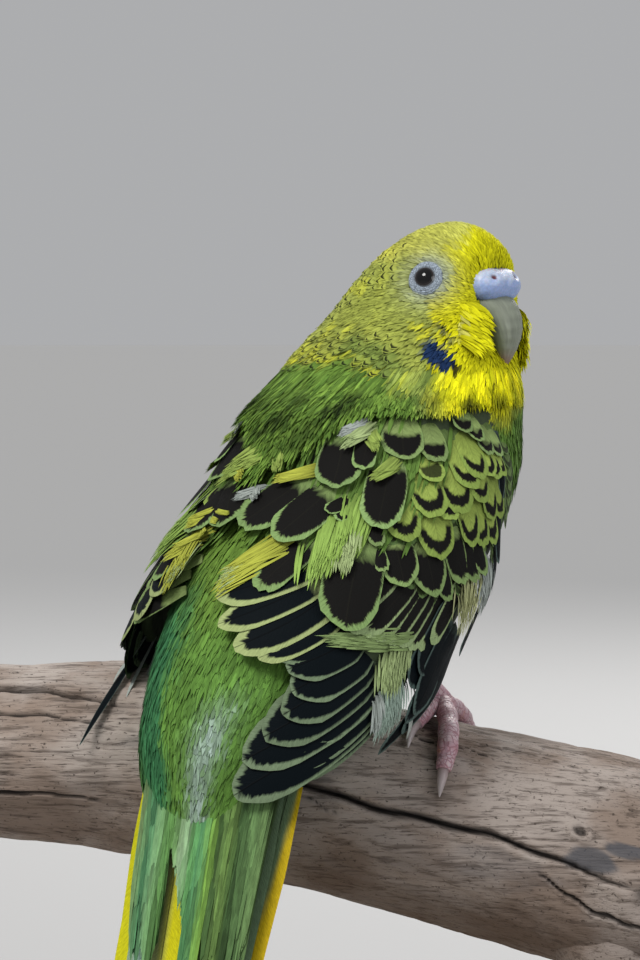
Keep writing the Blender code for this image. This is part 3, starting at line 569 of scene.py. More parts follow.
def layered(colour, layers):
    for paint, share in layers:
        colour = mix(colour, tone(paint), share[..., None])
    return colour


def bodyLayers(z, angle, rough, fine):
    # each paint of the body and its share: ramps over the height and over the angle from the back
    front = np.abs(turnedFrom(angle)) / np.pi
    turned = np.degrees(turnedFrom(angle))
    teal = ramp(turned + 4 * rough, -10, -26) * ramp(z, -10, -24) * ramp(front, 0.5, 0.2)
    streak = np.exp(-((turned - 22 - 0.56 * (z + 33)) / 10.0) ** 2) * ramp(z, -30, -40)
    return [("breast", ramp(front, 0.45, 0.75)),
            ("belly", ramp(z, -14, -30) * ramp(front, 0.4, 0.7)),
            ("rump", ramp(z, -16, -28) * ramp(front, 0.6, 0.3)),
            ("turquoise", 0.75 * teal),
            ("down", np.clip(streak * (0.72 + 0.12 * fine), 0, 1))]


def headLayers(p, height, rough, fine):
    # the head's paints from the nape forward, and the yellow that is strewn over them
    forward, right, up = headSpace(p)
    side = np.abs(right)
    patchy = ramp(rough, 0.2, 0.8) * ramp(forward, 2, -9)
    spotty = nearness(p, "ear", 1) + nearness(p, "ear", -1) + 0.5 * fine
    line = np.exp(-((height - 0.6 + 0.5 * rough) / 0.75) ** 2) * ramp(forward, 12, 9)
    return [("cheek", ramp(side + 0.4 * forward, 5, 12)),
            ("neck", ramp(height + 1.5 * rough, 6.0, 1.0) * ramp(forward, -9, -2)),
            ("crown", ramp(up + 1.0 * rough - 0.3 * side, -1.0, 4.0)),
            ("yellow", 0.3 * patchy), ("yellow", 0.55 * ramp(spotty, 0.6, 1.1)),
            ("yellow", 0.42 * line * ramp(fine, -0.5, 0.4))]


def faceShare(p, height, rough, fine):
    # how yellow the face is: 1 before a border that swings back over the eye and below the cheek
    forward, right, up = headSpace(p)
    border = 5.6 + 0.36 * np.abs(right) + 0.3 * np.maximum(0, up - 4) + 0.16 * np.maximum(0, -up - 8)
    border = border - 1.8 * np.exp(-((up + 4) / 2.5) ** 2) + 0.9 * rough + 0.7 * fine
    face = ramp(forward - border, -1.0, 1.4) * ramp(height + 0.8 * rough, -1.5, 4.5)
    under = 1.5 * (nearness(p, "underEye", 1) + nearness(p, "underEye", -1))
    return np.maximum(face, 0.85 * ramp(fine + under, 1.0, 1.7))


def patchLayers(p, side, fine):
    # the rim of the eye, the white quills, the grey and blue cheek patches and the throat's spots
    blue = np.maximum(nearness(p, "cheekPatch", side), nearness(p, "patchFoot", side))
    return [("eyeRim", np.clip(1.5 * nearness(p, "eye", side), 0, 0.85)),
            ("quill", 0.5 * ramp(nearness(p, "quillPatch", side) + 0.25 * fine, 0.35, 0.7)),
            ("grey", 0.85 * ramp(nearness(p, "greyPatch", side) + 0.35 * fine, 0.45, 0.8)),
            ("blue", ramp(blue + 0.16 * fine, 0.36, 0.56)),
            *(("black", 0.95 * ramp(nearness(p, spot, side), 0.35, 0.55))
              for spot in ("spotOuter", "spotInner", "spotMiddle"))]


def coatColour(p, angle):
    # The paint of each place: the body's, and above the neck's line the head's, then the face and its
    # patches, times 1 and a little noise. Returns it with the dark mark of a feather that grows there.
    forward, right, up = headSpace(p)
    rough, fine = softNoise(p, 7.0, 3), softNoise(p, 2.4, 5)
    height = p[..., 2] - neckLine(p)
    collar = ramp(height + 0.5 * rough, -0.9, 0.9)
    head = layered(tone("nape"), headLayers(p, height, rough, fine))
    colour = layered(tone("green"), bodyLayers(p[..., 2], angle, rough, fine))
    face = faceShare(p, height, rough, fine)
    colour = layered(mix(colour, head, collar[..., None]), [("yellow", face)])
    for side in (1, -1):
        colour = layered(colour, patchLayers(p, side, fine))
    plain = collar * (1 - face)
    barred = plain * ramp(forward, 6.5, -0.5)
    barred = barred * mix(0.45, 1.0, ramp(up - 0.4 * forward, 6, -2)) * ramp(np.abs(right), 15, 9)
    barred = np.maximum(barred, 0.55 * plain * ramp(up, -4, -10) * ramp(forward, 11, 3))
    return np.clip(colour * (1 + 0.1 * fine + 0.08 * rough)[..., None], 0.003, 0.9), barred


# feathers

def outlineOf(t, kind):
    # a web's half width along its shaft, as a share of the widest: a quarter sine up from the foot,
    # and for pointed feathers a cosine down to the tip
    foot = 0.5 + 0.5 * np.sin(np.pi / 2 * np.minimum(1, t / 0.5))
    if kind == "pointed":
        return foot * np.cos(np.pi / 2 * np.clip((t - 0.35) / 0.7, 0, 1))
    if kind == "flight":
        return (0.7 + 0.3 * np.minimum(1, t / 0.25)) * (1 - 0.25 * np.maximum(0, t - 0.75) / 0.25)
    return foot


def growVanes(shafts, width, look, tint, mark, bake, draw):
    # A web on a grid. A point lies on the shaft's line at its row's share of its column's length, moved
    # across by its column times the half width and down by the arch times the column's square. Columns
    # near the edges end sooner, which rounds the tip, and each a little by chance, which frays it. The
    # lower face is the upper one less a thickness that vanishes at the edge.
    middle, across, out = shafts
    count, rows = middle.shape[:2]
    columns = look["columns"]
    c = np.sin(np.linspace(-1, 1, columns) * math.pi / 2)
    s = np.linspace(0, 1, rows)
    length = np.linalg.norm(np.diff(middle, axis=1), axis=-1).sum(1)
    blunt = np.minimum(0.8, look["round"] * width / 2 / length)[:, None]
    ends = 1 - blunt * (1 - np.sqrt(1 - 0.97 * c ** 2)) - look["fray"] * draw.random((count, columns))
    t = s[None, :, None] * ends[:, None, :]
    spot = t * (rows - 1)
    low = np.minimum(spot.astype(int), rows - 2)
    part = (spot - low)[..., None]
    pick = np.arange(count)[:, None, None]
    m, a, o = (v[pick, low] * (1 - part) + v[pick, low + 1] * part for v in (middle, across, out))
    half = width[:, None, None] / 2 * outlineOf(t, look["kind"])
    x = c * half
    drop = look["arch"] * c ** 2 * half - look.get("tilt", 0.0) * c
    top = m + a * x[..., None] - o * drop[..., None]
    thick = look["thick"] * (1 - c ** 4) * (1 - s[:, None] ** 6)
    under = top - o * thick[None, ..., None]
    points = np.concatenate([top.reshape(count, -1, 3), under.reshape(count, -1, 3)], 1)
    grid = gridFaces(rows, columns)
    faces = np.concatenate([grid[:, ::-1], grid + rows * columns])
    size = points.shape[1]
    faces = (np.arange(count)[:, None, None] * size + faces).reshape(-1, 4)
    seed = draw.random((count, 1, 1)) * 60
    reach = t * length[:, None, None] - np.abs(x) * look["barbSlope"]
    if look.get("hair"):
        barb = np.stack([x * look["hair"] + seed, reach * 0.12, seed + 0 * t], -1)
    else:
        barb = np.stack([reach, x * 0.35 + seed, seed + 0 * t], -1)
    place = np.stack(np.broadcast_arrays(c * 0.5 + 0.5, s[:, None]), -1)
    place = np.broadcast_to(place, (count, rows, columns, 2))
    cell = bake[:, None, None, 2:3]
    patch = bake[:, None, None, :2] + (place - 0.5) * cell

    def both(v):
        v = np.broadcast_to(v, (count, rows, columns, v.shape[-1])).reshape(count, -1, v.shape[-1])
        return np.concatenate([v, v], 1).reshape(-1, v.shape[-1])

    tint = tint[:, None, None] if tint.ndim == 2 else tint  # else one paint for each row or column
    return {"points": points.reshape(-1, 3), "faces": faces, "vane": both(place), "OFBake": both(patch),
            "barb": both(barb), "tint": both(tint), "mark": both(mark[:, None, None])}


def putFeathers(name, parts, plume, slot):
    # several sets of webs become one piece
    starts = np.cumsum([0] + [len(p["points"]) for p in parts[:-1]])
    faces = np.concatenate([p["faces"] + start for p, start in zip(parts, starts)])
    joined = {key: np.concatenate([p[key] for p in parts]) for key in parts[0] if key != "faces"}
    layers = (("vane", "OFBake"), ("tint", "mark"), ("barb",))
    values = ({key: joined[key] for key in keys} for keys in layers)
    obj = makeMesh(name, joined["points"], [faces], *values, plumes[plume], slot)
    print(name + ":", 2 * len(faces), "triangles")
    return obj


def frameShafts(middle, out):
    # the way across each shaft is square to its run and to the surface under it
    along = unit(np.gradient(middle, axis=1))
    return middle, unit(np.cross(out, along)), out


beakRoot = headPoint(12.0, 0.0, -3.0)
bodyRun = unit(np.array((-0.36, -0.42, -0.83)))  # from the neck to the tail


def lieOf(p, n, turn):
    # away from the beak on the head and along the body below it, flattened on to the surface and
    # turned by an angle about its normal
    share = ramp(p[..., 2], 9.0, 24.0)[..., None]
    way = unit(p - beakRoot) * share + bodyRun * (1 - share)
    way = unit(way - n * (way * n).sum(-1, keepdims=True))
    return way * np.cos(turn)[:, None] + np.cross(n, way) * np.sin(turn)[:, None]


def walkShafts(p, length, rows, lift, turn):
    # each shaft is walked over the bird in equal steps, and rises from its root's depth to its tip's
    p, n = settle(p, 3)
    line, normals = [p], [n]
    for _ in range(rows - 1):
        p, n = settle(p + lieOf(p, n, turn) * (length / (rows - 1))[:, None])
        line.append(p)
        normals.append(n)
    t = np.linspace(0, 1, rows)
    rise = lift[0][:, None] + (lift[1] - lift[0])[:, None] * t ** 0.75
    middle = np.stack(line, 1)
    out = np.stack(normals, 1)
    return frameShafts(middle + out * rise[..., None], out)


def spreadRoots(low, high, count, start):
    # Roots spread by two golden ratios over height, weighted by each level's girth and slope, and angle
    z = np.linspace(low, high, 400)
    ring = bodyPoint(z[:, None], fullTurn(48)[None])
    girth = np.linalg.norm(np.roll(ring, 1, 1) - ring, axis=-1).sum(1)
    slope = np.linalg.norm(np.gradient(ring, axis=0), axis=-1).mean(1)
    total = np.cumsum(girth * slope)
    i = np.arange(count) + start
    height = np.interp((i * 0.7548776662) % 1, (total - total[0]) / (total[-1] - total[0]), z)
    return height, (i * 0.569840291) % 1 * 2 * math.pi


tuftPatch = 0.003  # how wide a strand's patch of the bake map is


def unwrapOf(z, angle):
    # the bird's own unwrap: the angle from the back, and the height from tail to crown
    turn = (angle / (2 * math.pi) + 0.5) % 1
    return np.stack([turn, (z - footOfBody) / (topOfBody - footOfBody), np.full(len(z), tuftPatch)], -1)


coatZones = {
    # heights, roots, pieces, length, width, rows, how deep the roots lie and how high the tips, stray
    "coat_crown": {"from": 27.5, "to": 43.75, "count": 8200, "pieces": 1, "length": 3.2, "width": 0.78,
        "rows": 4, "lift": (-0.5, 0.1), "stray": 0.18, "look": "headPlume", "slot": "plumage_head"},
    "coat_cheeks": {"from": 10, "to": 29.5, "count": 9600, "pieces": 1, "length": 4.2, "width": 0.9,
        "rows": 4, "lift": (-0.6, 0.14), "stray": 0.18, "look": "headPlume", "slot": "plumage_head"},
    "coat_mantle": {"from": -4, "to": 19, "count": 5600, "pieces": 2, "length": 8, "width": 0.74,
        "rows": 5, "lift": (-1.1, 0.22), "stray": 0.13, "look": "bodyPlume", "slot": "plumage_body",
        "smudged": True},
    "coat_back": {"from": -57, "to": -2, "count": 10000, "pieces": 2, "length": 11, "width": 0.9,
        "rows": 5, "lift": (-1.2, 0.15), "stray": 0.08, "look": "bodyPlume", "slot": "plumage_body"},
}
# soft dark places in the mantle: height, angle on the wings, half height in millimetres, half width in
# degrees, strength
mantleSmudges = [
    (14.2, 19.9, 1.9, 4.6, 1), (11.8, 15, 1.6, 7.2, 1), (9.8, -9, 1.9, 7.7, 0.9),
    (13.4, -6, 1.5, 6.6, 0.6), (9, 9, 2.2, 5.5, 0.6), (7.2, 4.6, 2.2, 9.9, 0.6),
    (7.8, -17, 1.8, 6.6, 0.8), (5.2, -2, 2.2, 6.6, 0.5), (4.6, -28, 2.8, 5.5, 1),
    (12.4, 74, 2, 4.4, 1), (10.4, 80, 1.8, 4.4, 0.9), (14, 56, 1.8, 5.5, 0.5),
    (13, 92, 1.9, 5.5, 0.7), (12.6, -44, 2, 6.6, 0.8), (10.5, -66, 2, 6.6, 0.8),
]
smallWeb = {
    "kind": "round", "round": 5, "fray": 0.28, "arch": 0.1, "thick": 0.05, "barbSlope": 2.6, "columns": 3,
    "hair": 1.3,
}


def clearOfParts(p, z, angle):
    # keeps roots off the eyes, the beak and cere, and the part of the back that the wings hide
    keep = np.ones(len(z), bool)
    for s in (1, -1):
        keep &= ((p - landmark("eye", s)) ** 2).sum(-1) > 2.8 ** 2
    forward, right, up = headSpace(p)
    keep &= ~((((forward - 14.5) / 4.2) ** 2 + (right / 5.0) ** 2 + ((up + 1.0) / 3.8) ** 2) < 1)
    keep &= ~((forward > 9) & (np.abs(right) < 3.0) & (up < -1) & (up > -9.5))
    turned = np.degrees(turnedFrom(angle))
    covered = (z < 6) & (z > -24) & (np.abs(turned) > 44) & (np.abs(turned) < 104)
    return keep & ~(covered & (turned > 0)) & ~(covered & (turned < 0) & (turned > -88))


def smudgeAt(p):
    # how dark the mantle is at a place: 1 inside a smudge, falling off over an ellipsoid that lies on the
    # wings' outline and is deep enough to take in the coat under it
    shade = np.zeros(p.shape[:-1])
    for height, at, tall, wide, strength in mantleSmudges:
        turn = np.radians(np.array(at))
        centre, n = wingPoint(np.array(height), turn), normalOf(wingPoint, np.array(height), turn)
        away = p - centre
        deep = away @ n
        flat = away - deep[..., None] * n
        aside = np.sqrt(np.maximum(0, (flat ** 2).sum(-1) - flat[..., 2] ** 2)) / (0.38 * wide)
        off = np.sqrt((flat[..., 2] / tall) ** 2 + aside ** 2 + (deep / 5.0) ** 2)
        shade = np.maximum(shade, strength * ramp(off + 0.3 * softNoise(p, 1.6, 61), 1.45, 0.5))
    return shade


def coatWebs(shafts, width, z, angle, look, draw, light=1.0, smudged=False):
    # Webs whose paint and dark mark are those of the coat a little beyond the middle of each shaft, the
    # paint times a light and, where smudged, blended towards the smudges' paint point by point
    count = len(width)
    colour, barred = coatColour(shafts[0][:, shafts[0].shape[1] * 3 // 5], angle)
    spread = draw.uniform(0.72, 1.22, (count, 1))
    chance = draw.uniform(0.4, 1.6, count) * (draw.random(count) < 0.62)
    mark = np.tile((0.05, 0.74, 0.0, 0.0), (count, 1))
    mark[:, 3] = np.clip(barred * chance, 0, 1)
    webs = growVanes(shafts, width, look, colour * spread * light, mark, unwrapOf(z, angle), draw)
    if smudged:
        webs["tint"] = mix(webs["tint"], tone("smudge"), 0.95 * smudgeAt(webs["points"])[:, None])
    return webs


def makeCoat():
    # small feathers over the whole bird, smaller towards the beak and the eyes
    for k, (name, zone) in enumerate(coatZones.items()):
        draw = np.random.default_rng(20 + k)
        z, angle = spreadRoots(zone["from"], zone["to"], zone["count"], 1000 * k)
        p = bodyPoint(z, angle)
        keep = clearOfParts(p, z, angle)
        onHead = zone["look"] == "headPlume"
        if onHead:
            keep &= z > neckLine(p) - 0.6
        p, z, angle = p[keep], z[keep], angle[keep]
        near = np.ones(len(z))
        if onHead:
            near = mix(0.55, 1.0, ramp(np.linalg.norm(p - beakRoot, axis=-1), 6, 17))
            near = near * mix(1.0, 1.3, ramp(z, 26, 19))
            for side in (1, -1):
                near = near * (1 - 0.42 * nearness(p, "cheekPatch", side, 2.2))
        length = zone["length"] * near * draw.uniform(0.8, 1.2, len(z))
        width = zone["width"] * mix(1.0, near, 0.5) * draw.uniform(0.85, 1.15, len(z))
        turn = draw.normal(0, zone["stray"], len(z)) + 0.5 * zone["stray"] * softNoise(p, 9.0, 40 + k)
        deep = np.full(len(z), zone["lift"][0])
        high = zone["lift"][1] * draw.uniform(0.2, 1.6, len(z))
        shafts = walkShafts(p, length, zone["rows"], (deep, high), turn)
        for piece in range(zone["pieces"]):
            own = np.arange(len(z)) % zone["pieces"] == piece
            webs = coatWebs([v[own] for v in shafts], width[own], z[own], angle[own], smallWeb, draw,
                            smudged=zone.get("smudged", False))
            ending = "_" + "ab"[piece] if zone["pieces"] > 1 else ""
            putFeathers(name + ending, [webs], zone["look"], zone["slot"])


capeShape = {
    "count": 5000, "first": -14, "last": 112, "length": (5.5, 9.5), "width": 0.5, "lift": (-0.9, 1.5),
    "rows": 5, "top": 21.5,
    # the lowest tips, by the angle on the wings: the left wing's are below 0
    "foot": [(-112, 10), (-60, 8), (-28, 6.5), (-20, 2), (-15, -3), (-8, -0.5), (0, 1), (10, 3),
        (20, 7.5), (30, 9.5), (45, 10), (60, 9.5), (75, 11), (112, 12)],
}
# single dark arcs on the nape: how many, length, width
fleckShape = {"count": 950, "length": 2.8, "width": 1.9}


def wrapped(z, angle, side):
    # a place and its normal on the wings' outline where they reach, and on the body's above them, and the
    # angle there on the body, whose levels turn from the wings' heading to the head's
    turned = onSide(z, angle, side)
    heading = smoothRows(bodyShape["levels"][:, 0], bodyRows, z)[..., 2]
    plain = turned + np.radians(heading - wingShape["heading"])
    share = ramp(z, 17.0, 9.0)[..., None]
    here = mix(bodyPoint(z, plain), wingPoint(z, turned), share)
    return here, unit(mix(normalOf(bodyPoint, z, plain), normalOf(wingPoint, z, turned), share)), plain


def makeCape():
    # long hair-like feathers from the neck's foot down over the tops of the wings
    look = capeShape
    for name, side in (("cape_right", 1), ("cape_left", -1)):
        draw = np.random.default_rng(200 + side)
        n = look["count"]
        start = draw.uniform(look["first"], look["last"], n)
        length = draw.uniform(*look["length"], n)
        place = start if side > 0 else -looser(0.0, start)
        foot = np.interp(place, *np.array(look["foot"]).T)
        foot = foot + np.maximum(0.5, look["top"] - length - foot) * draw.random(n) ** 0.75
        end = start + draw.normal(0, 2.2, n) + 0.05 * (start - 40)
        t = np.linspace(0, 1, look["rows"])
        z = (foot + length)[:, None] - length[:, None] * t
        angle = start[:, None] + (end - start)[:, None] * t
        here, out, plain = wrapped(z, angle, side)
        low, high = look["lift"]
        rise = low + (high * draw.uniform(0.5, 1.15, (n, 1)) - low) * t ** 0.7 * mix(0.6, 1, ramp(z, 17, 10))
        shafts = frameShafts(here + out * rise[..., None], out)
        width = look["width"] * draw.uniform(0.8, 1.3, n)
        light = 1.1 + 0.3 * softNoise(here[:, 2], 3.4, 62)[:, None] * np.array((1.2, 1.0, 1.0))
        webs = coatWebs(shafts, width, z[:, 3], plain[:, 3], smallWeb, draw, light, smudged=True)
        putFeathers(name, [webs], "bodyPlume", "plumage_body")


def makeFlecks():
    # wider feathers with a black arc near the tip, sparse over the nape and the sides of the neck
    draw = np.random.default_rng(260)
    z, angle = spreadRoots(19.0, 40.0, fleckShape["count"], 5000)
    p = bodyPoint(z, angle)
    barred = coatColour(p, angle)[1]
    keep = clearOfParts(p, z, angle) & (barred > 0.28) & (draw.random(len(z)) < 0.8)
    p, z, angle = p[keep], z[keep], angle[keep]
    n = len(z)
    size = draw.uniform(0.55, 1.15, n)
    lift = np.full(n, -0.3), np.full(n, 0.24)
    shafts = walkShafts(p, fleckShape["length"] * size, 5, lift, draw.normal(0, 0.15, n))
    colour = coatColour(shafts[0][:, 3], angle)[0]
    mark = np.tile((0.12, 0.7, 0.0, 0.95), (n, 1))
    look = {**smallWeb, "kind": "round", "round": 1.6, "columns": 5, "fray": 0.08}
    webs = growVanes(shafts, fleckShape["width"] * size, look, colour, mark, unwrapOf(z, angle), draw)
    putFeathers("coat_flecks", [webs], "headPlume", "plumage_head")


ruffShape = {
    # count, height from and to, angle from and to, how far the tips lie forward, outward and up, width, side
    "ruff_right": (560, 30.5, 24, 144, 156, (1.5, 3.6), (-2.8, -1.2), (-3.6, -2), 0.7, 1),
    "ruff_left": (330, 29.5, 22, 130, 150, (0.8, 2.9), (-1.2, 0.5), (-4.8, -3), 0.9, -1),
}


def makeRuff():
    # the stiffer yellow feathers beside the beak, laid over its sides
    for name, (n, top, foot, first, last, ahead, aside, down, width, side) in ruffShape.items():
        draw = np.random.default_rng(230 + side)
        z = draw.uniform(foot, top, n)
        angle = np.radians(draw.uniform(first, last, n)) * side
        root, out = settle(bodyPoint(z, angle), 2)
        forward, right, up = headSpace(root)
        tip = headPoint(forward + draw.uniform(*ahead, n), right + side * draw.uniform(*aside, n),
                        up + draw.uniform(*down, n))
        t = np.linspace(0, 1, 5)[None, :, None]
        arch = 0.8 * np.sin(np.pi * t) - 0.7 * (1 - t)
        middle = root[:, None] * (1 - t) + tip[:, None] * t + out[:, None] * arch
        shafts = frameShafts(middle, np.broadcast_to(out[:, None], middle.shape))
        webs = coatWebs(shafts, width * draw.uniform(0.8, 1.25, n), z, angle,
                        {**smallWeb, "kind": "pointed", "fray": 0.1}, draw)
        # painted light: the left ruff's strands are seen from their inner side, which lies in shade, so their
        # paint is made half as bright again
        if side < 0:
            webs["tint"] = np.minimum(1.5 * webs["tint"], 0.85)
        putFeathers(name, [webs], "headPlume", "plumage_head")


def makeSkin():
    # the outline drawn in by the coat's depth, closed at the crown and at the tail's root
    levels, around = bodyShape["skinLevels"], bodyShape["skinAround"]
    share = (1 - np.cos(np.linspace(0.04, math.pi - 0.04, levels))) / 2
    z = topOfBody + (footOfBody - topOfBody) * share
    z, angle = np.meshgrid(z, fullTurn(around), indexing="ij")
    p, n = settle(bodyPoint(z, angle), 1)
    p = p - n * bodyShape["skinDepth"]
    colour = coatColour(p, angle)[0] * bodyShape["skinShade"]
    material, tree, shader = newMaterial("downySkin", 0.85, Specular_IOR_Level=0.2)
    grainedPaint(tree, shader, noiseIn(tree, placeIn(tree), 1500.0, 4.0), 0.55, 1.1, 0.6, 0.0003)
    skin = loftMesh("skin", p, {}, {"tint": colour}, material, "plumage_body")
    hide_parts("head", "neck", "torso")
    print("skin:", len(skin.data.polygons), "faces")


makeSkin()
makeCoat()
makeFlecks()
makeRuff()

# What each kind of wing feather is like: how its marks lie (margin, start, hollow, strength), the lift of
# its root and tip and how that falls from one feather to the next, its paint and its outline
covertKind = {"plume": "covertPlume", "kind": "round", "tint": "covertBright", "tilt": 0.1, "round": 1.1,
              "fray": 0.06}
flightKind = {"plume": "flightPlume", "kind": "flight", "tint": "primaryEdge"}
strandKind = {
    "plume": "headPlume", "kind": "pointed", "mark": (0.1, 0, 0, 0), "tilt": 0, "hair": 1.1,
    "columns": 3, "rows": 6, "thick": 0.05, "strands": 60,
}
featherKinds = {
    "under": {**covertKind, "mark": (0.12, 0.5, 0.9, 0.8), "lift": (-1.1, -0.35, 0), "tint": "plain",
        "tilt": 0.12, "columns": 7, "rows": 5, "thick": 0.15, "fray": 0.05},
    "quills": {**flightKind, "mark": (0.1, 0, 0, 0), "lift": (-0.9, 0.7, 0), "tint": "white",
        "tilt": 0, "round": 2.0},
    "primaries": {**flightKind, "mark": (0.05, 0, 0, 1), "lift": (-1, 0.6, 0.22), "tilt": 0.18,
        "round": 1.4},
    "secondaries": {**flightKind, "mark": (0.03, 0, 0, 1), "lift": (-1, 0.9, 0.2),
        "tint": "flightEdge", "tilt": 0.22, "round": 1.25, "sweep": 2.5},
    "greater": {**covertKind, "mark": (0.24, 0.05, 0, 1), "lift": (-0.9, 0.85, 0.04),
        "tint": "covertEdge", "tilt": 0.2, "round": 1.25, "kind": "flight", "fray": 0.03},
    "tertials": {**flightKind, "mark": (0.14, 0.12, 0, 1), "lift": (-0.6, 1.5, 0.16),
        "tint": "tertialEdge", "tilt": 0.2, "round": 1.2, "sweep": 4.0},
    "medians": {**covertKind, "mark": (0.15, 0.28, 0, 1), "lift": (-0.9, 0.85, 0), "tint": "covert",
        "tilt": 0.12, "round": 1.15},
    "lesserLow": {**covertKind, "mark": (0.22, 0.5, 1, 1), "lift": (-0.9, 0.85, 0)},
    "lesserMid": {**covertKind, "mark": (0.22, 0.5, 1, 1), "lift": (-0.8, 0.9, 0)},
    "lesserHigh": {**covertKind, "mark": (0.24, 0.5, 1, 1), "lift": (-0.8, 0.95, 0)},
    "shoulder": {**covertKind, "mark": (0.22, 0.5, 0.4, 1), "lift": (-1, 0.75, 0), "tint": "covert"},
    "scapularsLow": {**covertKind, "mark": (0.13, 0.22, 0, 1), "lift": (-0.5, 1.4, 0),
        "tint": "scapular", "round": 1.15, "fray": 0.05},
    "scapulars": {**covertKind, "mark": (0.12, 0.22, 0, 1), "lift": (-0.5, 1.7, 0),
        "tint": "scapular", "fray": 0.05},
    "soft": {**strandKind, "lift": (0.1, 1.9, 0), "tint": "yellow", "round": 4, "fray": 0.1},
    "alula": {**strandKind, "lift": (-0.8, 0.55, 0), "tint": "cream", "round": 3, "fray": 0.08},
    "edge": {**flightKind, "mark": (0.08, 0, 0, 1), "lift": (-0.6, 0.3, 0), "tilt": 0.1,
        "round": 1.5},
}
# root height, root angle, tip height, tip angle and width of each feather of a folded wing
wingFeathers = {
    "quills": [(-36, 104, -40.1, 114, 1.5)],
    "primaries": [(-18.6, 101, -29.8, 96, 6.4), (-20.9, 103, -31.8, 94, 6), (-22.3, 107, -36.2, 103, 6.4),
        (-23, 111, -37.4, 102, 5), (-23.5, 119, -39.4, 107, 4.6), (-25.2, 122, -42.8, 104, 3.6)],
    "secondaries": [(-21.4, 54, -25.7, 28, 6.2), (-22.4, 59, -28.2, 36, 7.4), (-23.6, 64, -31.6, 39, 8.4),
        (-24.8, 68, -35.2, 37, 8.8), (-26.2, 72, -38.8, 31, 9), (-28, 76, -42.6, 25, 9),
        (-30.4, 80, -48.2, 27, 9), (-22.4, 85, -40, 42, 9), (-23.6, 90, -43, 43, 9),
        (-25.6, 95, -45, 46, 8.4)],
    "greater": [(-11.8, 64, -21.4, 48, 4.6), (-13.2, 70, -22.4, 54, 4.2), (-13.5, 74, -23.2, 60, 3.9),
        (-14, 78, -23.9, 66, 3.8), (-14.6, 83, -24.5, 72, 3.8), (-15.2, 88, -25, 78, 3.7),
        (-15.4, 93, -25.6, 84, 3.7), (-14.8, 97, -25.8, 90, 3.8), (-14, 101, -25.2, 96, 3.8)],
    "tertials": [(-10.4, 31, -17.8, 1, 6.6), (-12.9, 36, -21.9, 6, 6), (-15.4, 42, -25.3, 15, 7.3),
        (-18.2, 48, -26.6, 25, 5)],
    "medians": [(-2.6, 41, -9.4, 51, 2.8), (-6.9, 46, -13.3, 58, 2.6), (-6.3, 54, -15.8, 69, 6.6),
        (-6.6, 66, -17.6, 86, 7.2), (-5.2, 76, -15.6, 99, 5), (-5.5, 83, -15.2, 103, 4.4),
        (-5.3, 89, -14.2, 106, 3.8), (-10.5, 79, -18.3, 95, 3.6)],
    "lesserLow": [(0.9, 49, -8.8, 60, 6), (-1, 62, -11.7, 80, 7), (-0.5, 78, -9.6, 95, 4.8),
        (-0.8, 85, -9.9, 101, 4.4), (-0.9, 92, -9.5, 106, 4)],
    "lesserMid": [(1.8, 62, -5.5, 77, 4.2), (4.2, 53, -5.1, 69, 6.2), (5.6, 65, -4.6, 80, 6.4),
        (5.2, 82, -3, 88, 4.6), (2.8, 89, -5.9, 99, 4.4), (2.5, 94, -5.7, 104, 3.4)],
    "lesserHigh": [(5.8, 55, 0.7, 64, 4.2), (8.1, 68, -0.8, 81, 5.6), (9.4, 73, 0.9, 84, 5.2),
        (7.4, 80, 1.3, 91, 4.4), (7.3, 86, 0.9, 95, 3.4), (7.3, 91, 1.2, 98, 2.6)],
    "shoulder": [(12.4, 44, 4.2, 48, 7.2), (11, 56, 3.7, 62, 4.6), (14.5, 69, 8.4, 73, 3.8),
        (12.3, 75, 7, 81, 3.6), (10.6, 83, 4.8, 87, 3.8), (9.9, 90, 4.4, 94, 3.2)],
    "scapularsLow": [(-6, 27, -16.4, 15, 6.3), (-0.9, 34, -4.2, 26, 2.6), (-2, 37, -5.4, 31, 2.4)],
    "scapulars": [(-6.3, 43, -22.4, 52, 9.4), (1.9, 26, -8.8, 13, 8), (3.3, 15, -7.2, -4, 8.4),
        (6.6, 41, -6.9, 47, 7), (9.9, 22, -0.7, 25, 7.8), (10.7, 32, 2.2, 33, 3.8)],
    "soft": [(4, 15, -0.2, 2, 2.4), (-5.2, 17, -17.8, 0, 4.2), (-8.4, 11, -16.6, 1, 3),
        (11, 32, 5.6, 25, 2.6), (11.4, 30, 7.4, 22, 1.2), (5.4, 45, 0.4, 39, 3.2),
        (-2, 29, -15.6, 34, 5.4), (-2.6, 37, -13.8, 43, 4.4), (-0.6, 33, -12, 38, 3.8),
        (9.6, 33, 5.2, 37, 1.8), (0.4, -5, -3.2, -12, 1.9), (6.6, -10, 1.6, -16, 2.6)],
    "alula": [(-10.6, 108, -20.6, 117, 5.4), (-13, 103, -21.4, 105, 4.6), (-11.2, 103, -23.4, 108, 5.2)],
    "edge": [(9, 94, -2.6, 102, 2), (-2, 103, -12.6, 115, 2.2), (-9.7, 113, -19.4, 121, 2.2),
        (-16.2, 121, -27, 116, 2.6)],
}
